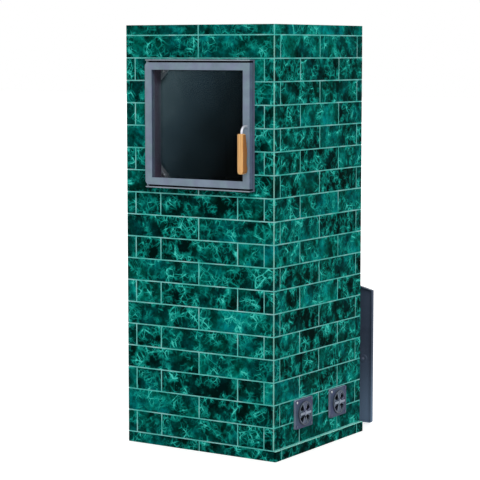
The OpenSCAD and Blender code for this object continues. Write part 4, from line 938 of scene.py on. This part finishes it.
fuelPinLook = {  # metres
    "place": (-0.172, 0.431), "feet": (0.203, 0.373), "radius": 0.004, "length": 0.0553,
    "head": 0.006, "headHigh": 0.0025,
}
x, y = fuelPinLook["place"]
pin = roundStock("fuelPin", (x, y, 0), "Z", fuelPinLook["radius"], fuelPinLook["length"], 24, 0.4)
head = roundStock("fuelPinHead", (x, y, fuelPinLook["length"]), "Z", fuelPinLook["head"],
                  fuelPinLook["headHigh"], 24, 1.2)
pins = repeated(joined([pin, head], "fuelPin"), "fuelHingePins", [(0, 0, z) for z in fuelPinLook["feet"]])
hang(pins, "stove", zinc, "zinc", "fuel_hinge_pins")

# Ash drawer handle: a bow bent from round bar
bow = {"half": 0.045, "out": 0.028, "bend": 0.012, "radius": 0.004, "sides": 20, "bendSteps": 8}  # metres
low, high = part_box("ash_handle")
bowZ = (low.z + high.z) / 2
turnY = low.y + bow["out"] - bow["bend"]
turnX = bow["half"] - bow["bend"]
letGo()
bpy.ops.mesh.primitive_circle_add(vertices=bow["sides"], radius=bow["radius"],
                                  rotation=(radians(90), 0, 0), location=(bow["half"], low.y, bowZ))
handleBow = settle(bpy.context.object)
editAll(handleBow)
extrude((0, turnY - low.y, 0))
for side, run in ((1, (-2 * turnX, 0, 0)), (-1, (0, low.y - turnY, 0))):  # a bend, then the straight after it
    bpy.ops.mesh.spin(steps=bow["bendSteps"], angle=radians(-90), center=(side * turnX, turnY, bowZ),
                      axis=(0, 0, 1))
    extrude(run)
hang(smooth(closeTube(handleBow, "ashHandle")), "ash_drawer", stainless, "zinc", "ash_handle")

# Press-in caps in the portal's anchor holes, each in a washer
anchorLook = {  # metres
    "x": 0.235, "z": 0.235, "capY": 0.4168, "washerY": 0.4172,
    "cap": 0.0044, "capHigh": 0.0028, "washer": 0.0125, "washerHigh": 0.0016,
}
spots = [(-anchorLook["x"], 0, 0), (anchorLook["x"], 0, 0)]
cap = roundStock("anchorCap", (0, anchorLook["capY"], anchorLook["z"]), "Y", anchorLook["cap"],
                 anchorLook["capHigh"], 24, 0.5)
endFace(cap, (0, -1, 0), 0.0016, -0.0002)
hang(repeated(cap, "anchorCaps", spots), "stove", portalPaint, "portal_steel")
washer = roundStock("anchorWasher", (0, anchorLook["washerY"], anchorLook["z"]), "-Y", anchorLook["washer"],
                    anchorLook["washerHigh"], 40, 0.4)
endFace(washer, (0, -1, 0), 0.0018, -0.0008)
faceMark(washer, "side", lambda c, n, _: 0.4)
hang(repeated(washer, "anchorWashers", spots), "stove", ventPaint, "portal_steel")
print("screws, pins and bows made")


# Stage: pale floor, soft light, and the camera of the photograph
studio = {
    "fill": 0.42,  # light from all round
    "keyStrength": 2.05, "keyAzimuth": 43, "keyHeight": 34,  # degrees
    "backStrength": 1.5, "backAzimuth": 222, "backHeight": 38,
    "softness": 50,  # degrees across each lamp
    "floorGlow": 0.55,
    "cameraPlace": (3.2939, -5.0797, 1.3326), "cameraTurn": 33.1474, "cameraDip": 6.0929, "lens": 132.486,
}


def seenDirectly(tree):  # 1 for what the camera sees, also in metal and through glass
    rays = addNode(tree, "LightPath", out=None)
    view = addNode(tree, "Math", {0: rays["Is Camera Ray"], 1: rays["Is Glossy Ray"]}, operation="MAXIMUM")
    return addNode(tree, "Math", {0: view, 1: rays["Is Transmission Ray"]}, operation="MAXIMUM")


letGo()
bpy.ops.mesh.primitive_plane_add(size=80, location=(0, 0, -0.0005))
floor = named(settle(bpy.context.object), "floor")
floorMaterial = bpy.data.materials.new("white studio floor")
floorMaterial.use_nodes = True
tree = floorMaterial.node_tree
tree.nodes.remove(tree.nodes["Principled BSDF"])
glow = addNode(tree, "Math", {0: seenDirectly(tree), 1: studio["floorGlow"]}, operation="MULTIPLY")
plain = addNode(tree, "BsdfDiffuse", {"Color": (0.75, 0.75, 0.75, 1)})
shine = addNode(tree, "Emission", {"Color": (1, 1, 1, 1), "Strength": glow})
both = addNode(tree, "AddShader", {0: plain, 1: shine})
tree.links.new(both, tree.nodes["Material Output"].inputs["Surface"])
floor.data.materials.append(floorMaterial)

world = bpy.data.worlds.new("white studio")
bpy.context.scene.world = world
world.use_nodes = True
tree = world.node_tree
level = addNode(tree, "MapRange", {"Value": seenDirectly(tree), 3: studio["fill"], 4: 1.0})
tree.nodes["Background"].inputs["Color"].default_value = (1, 1, 1, 1)
tree.links.new(level, tree.nodes["Background"].inputs["Strength"])

for name in ("key", "back"):
    lamp = bpy.data.lights.new(name + "Light", "SUN")
    lamp.energy = studio[name + "Strength"]
    lamp.angle = radians(studio["softness"])
    holder = bpy.data.objects.new(name + "Light", lamp)
    bpy.context.scene.collection.objects.link(holder)
    tilt, turn = 90 - studio[name + "Height"], studio[name + "Azimuth"]
    holder.rotation_euler = (radians(tilt), 0, radians(turn))

camera = bpy.data.objects.new("camera", bpy.data.cameras.new("camera"))
bpy.context.scene.collection.objects.link(camera)
camera.location = studio["cameraPlace"]
camera.rotation_euler = (radians(90 - studio["cameraDip"]), 0, radians(studio["cameraTurn"]))
camera.data.sensor_width = 36
camera.data.lens = studio["lens"]
camera.data.clip_end = 200
bpy.context.scene.camera = camera
bpy.context.scene.view_settings.view_transform = "Standard"
print("stage set")

bpy.context.view_layer.update()
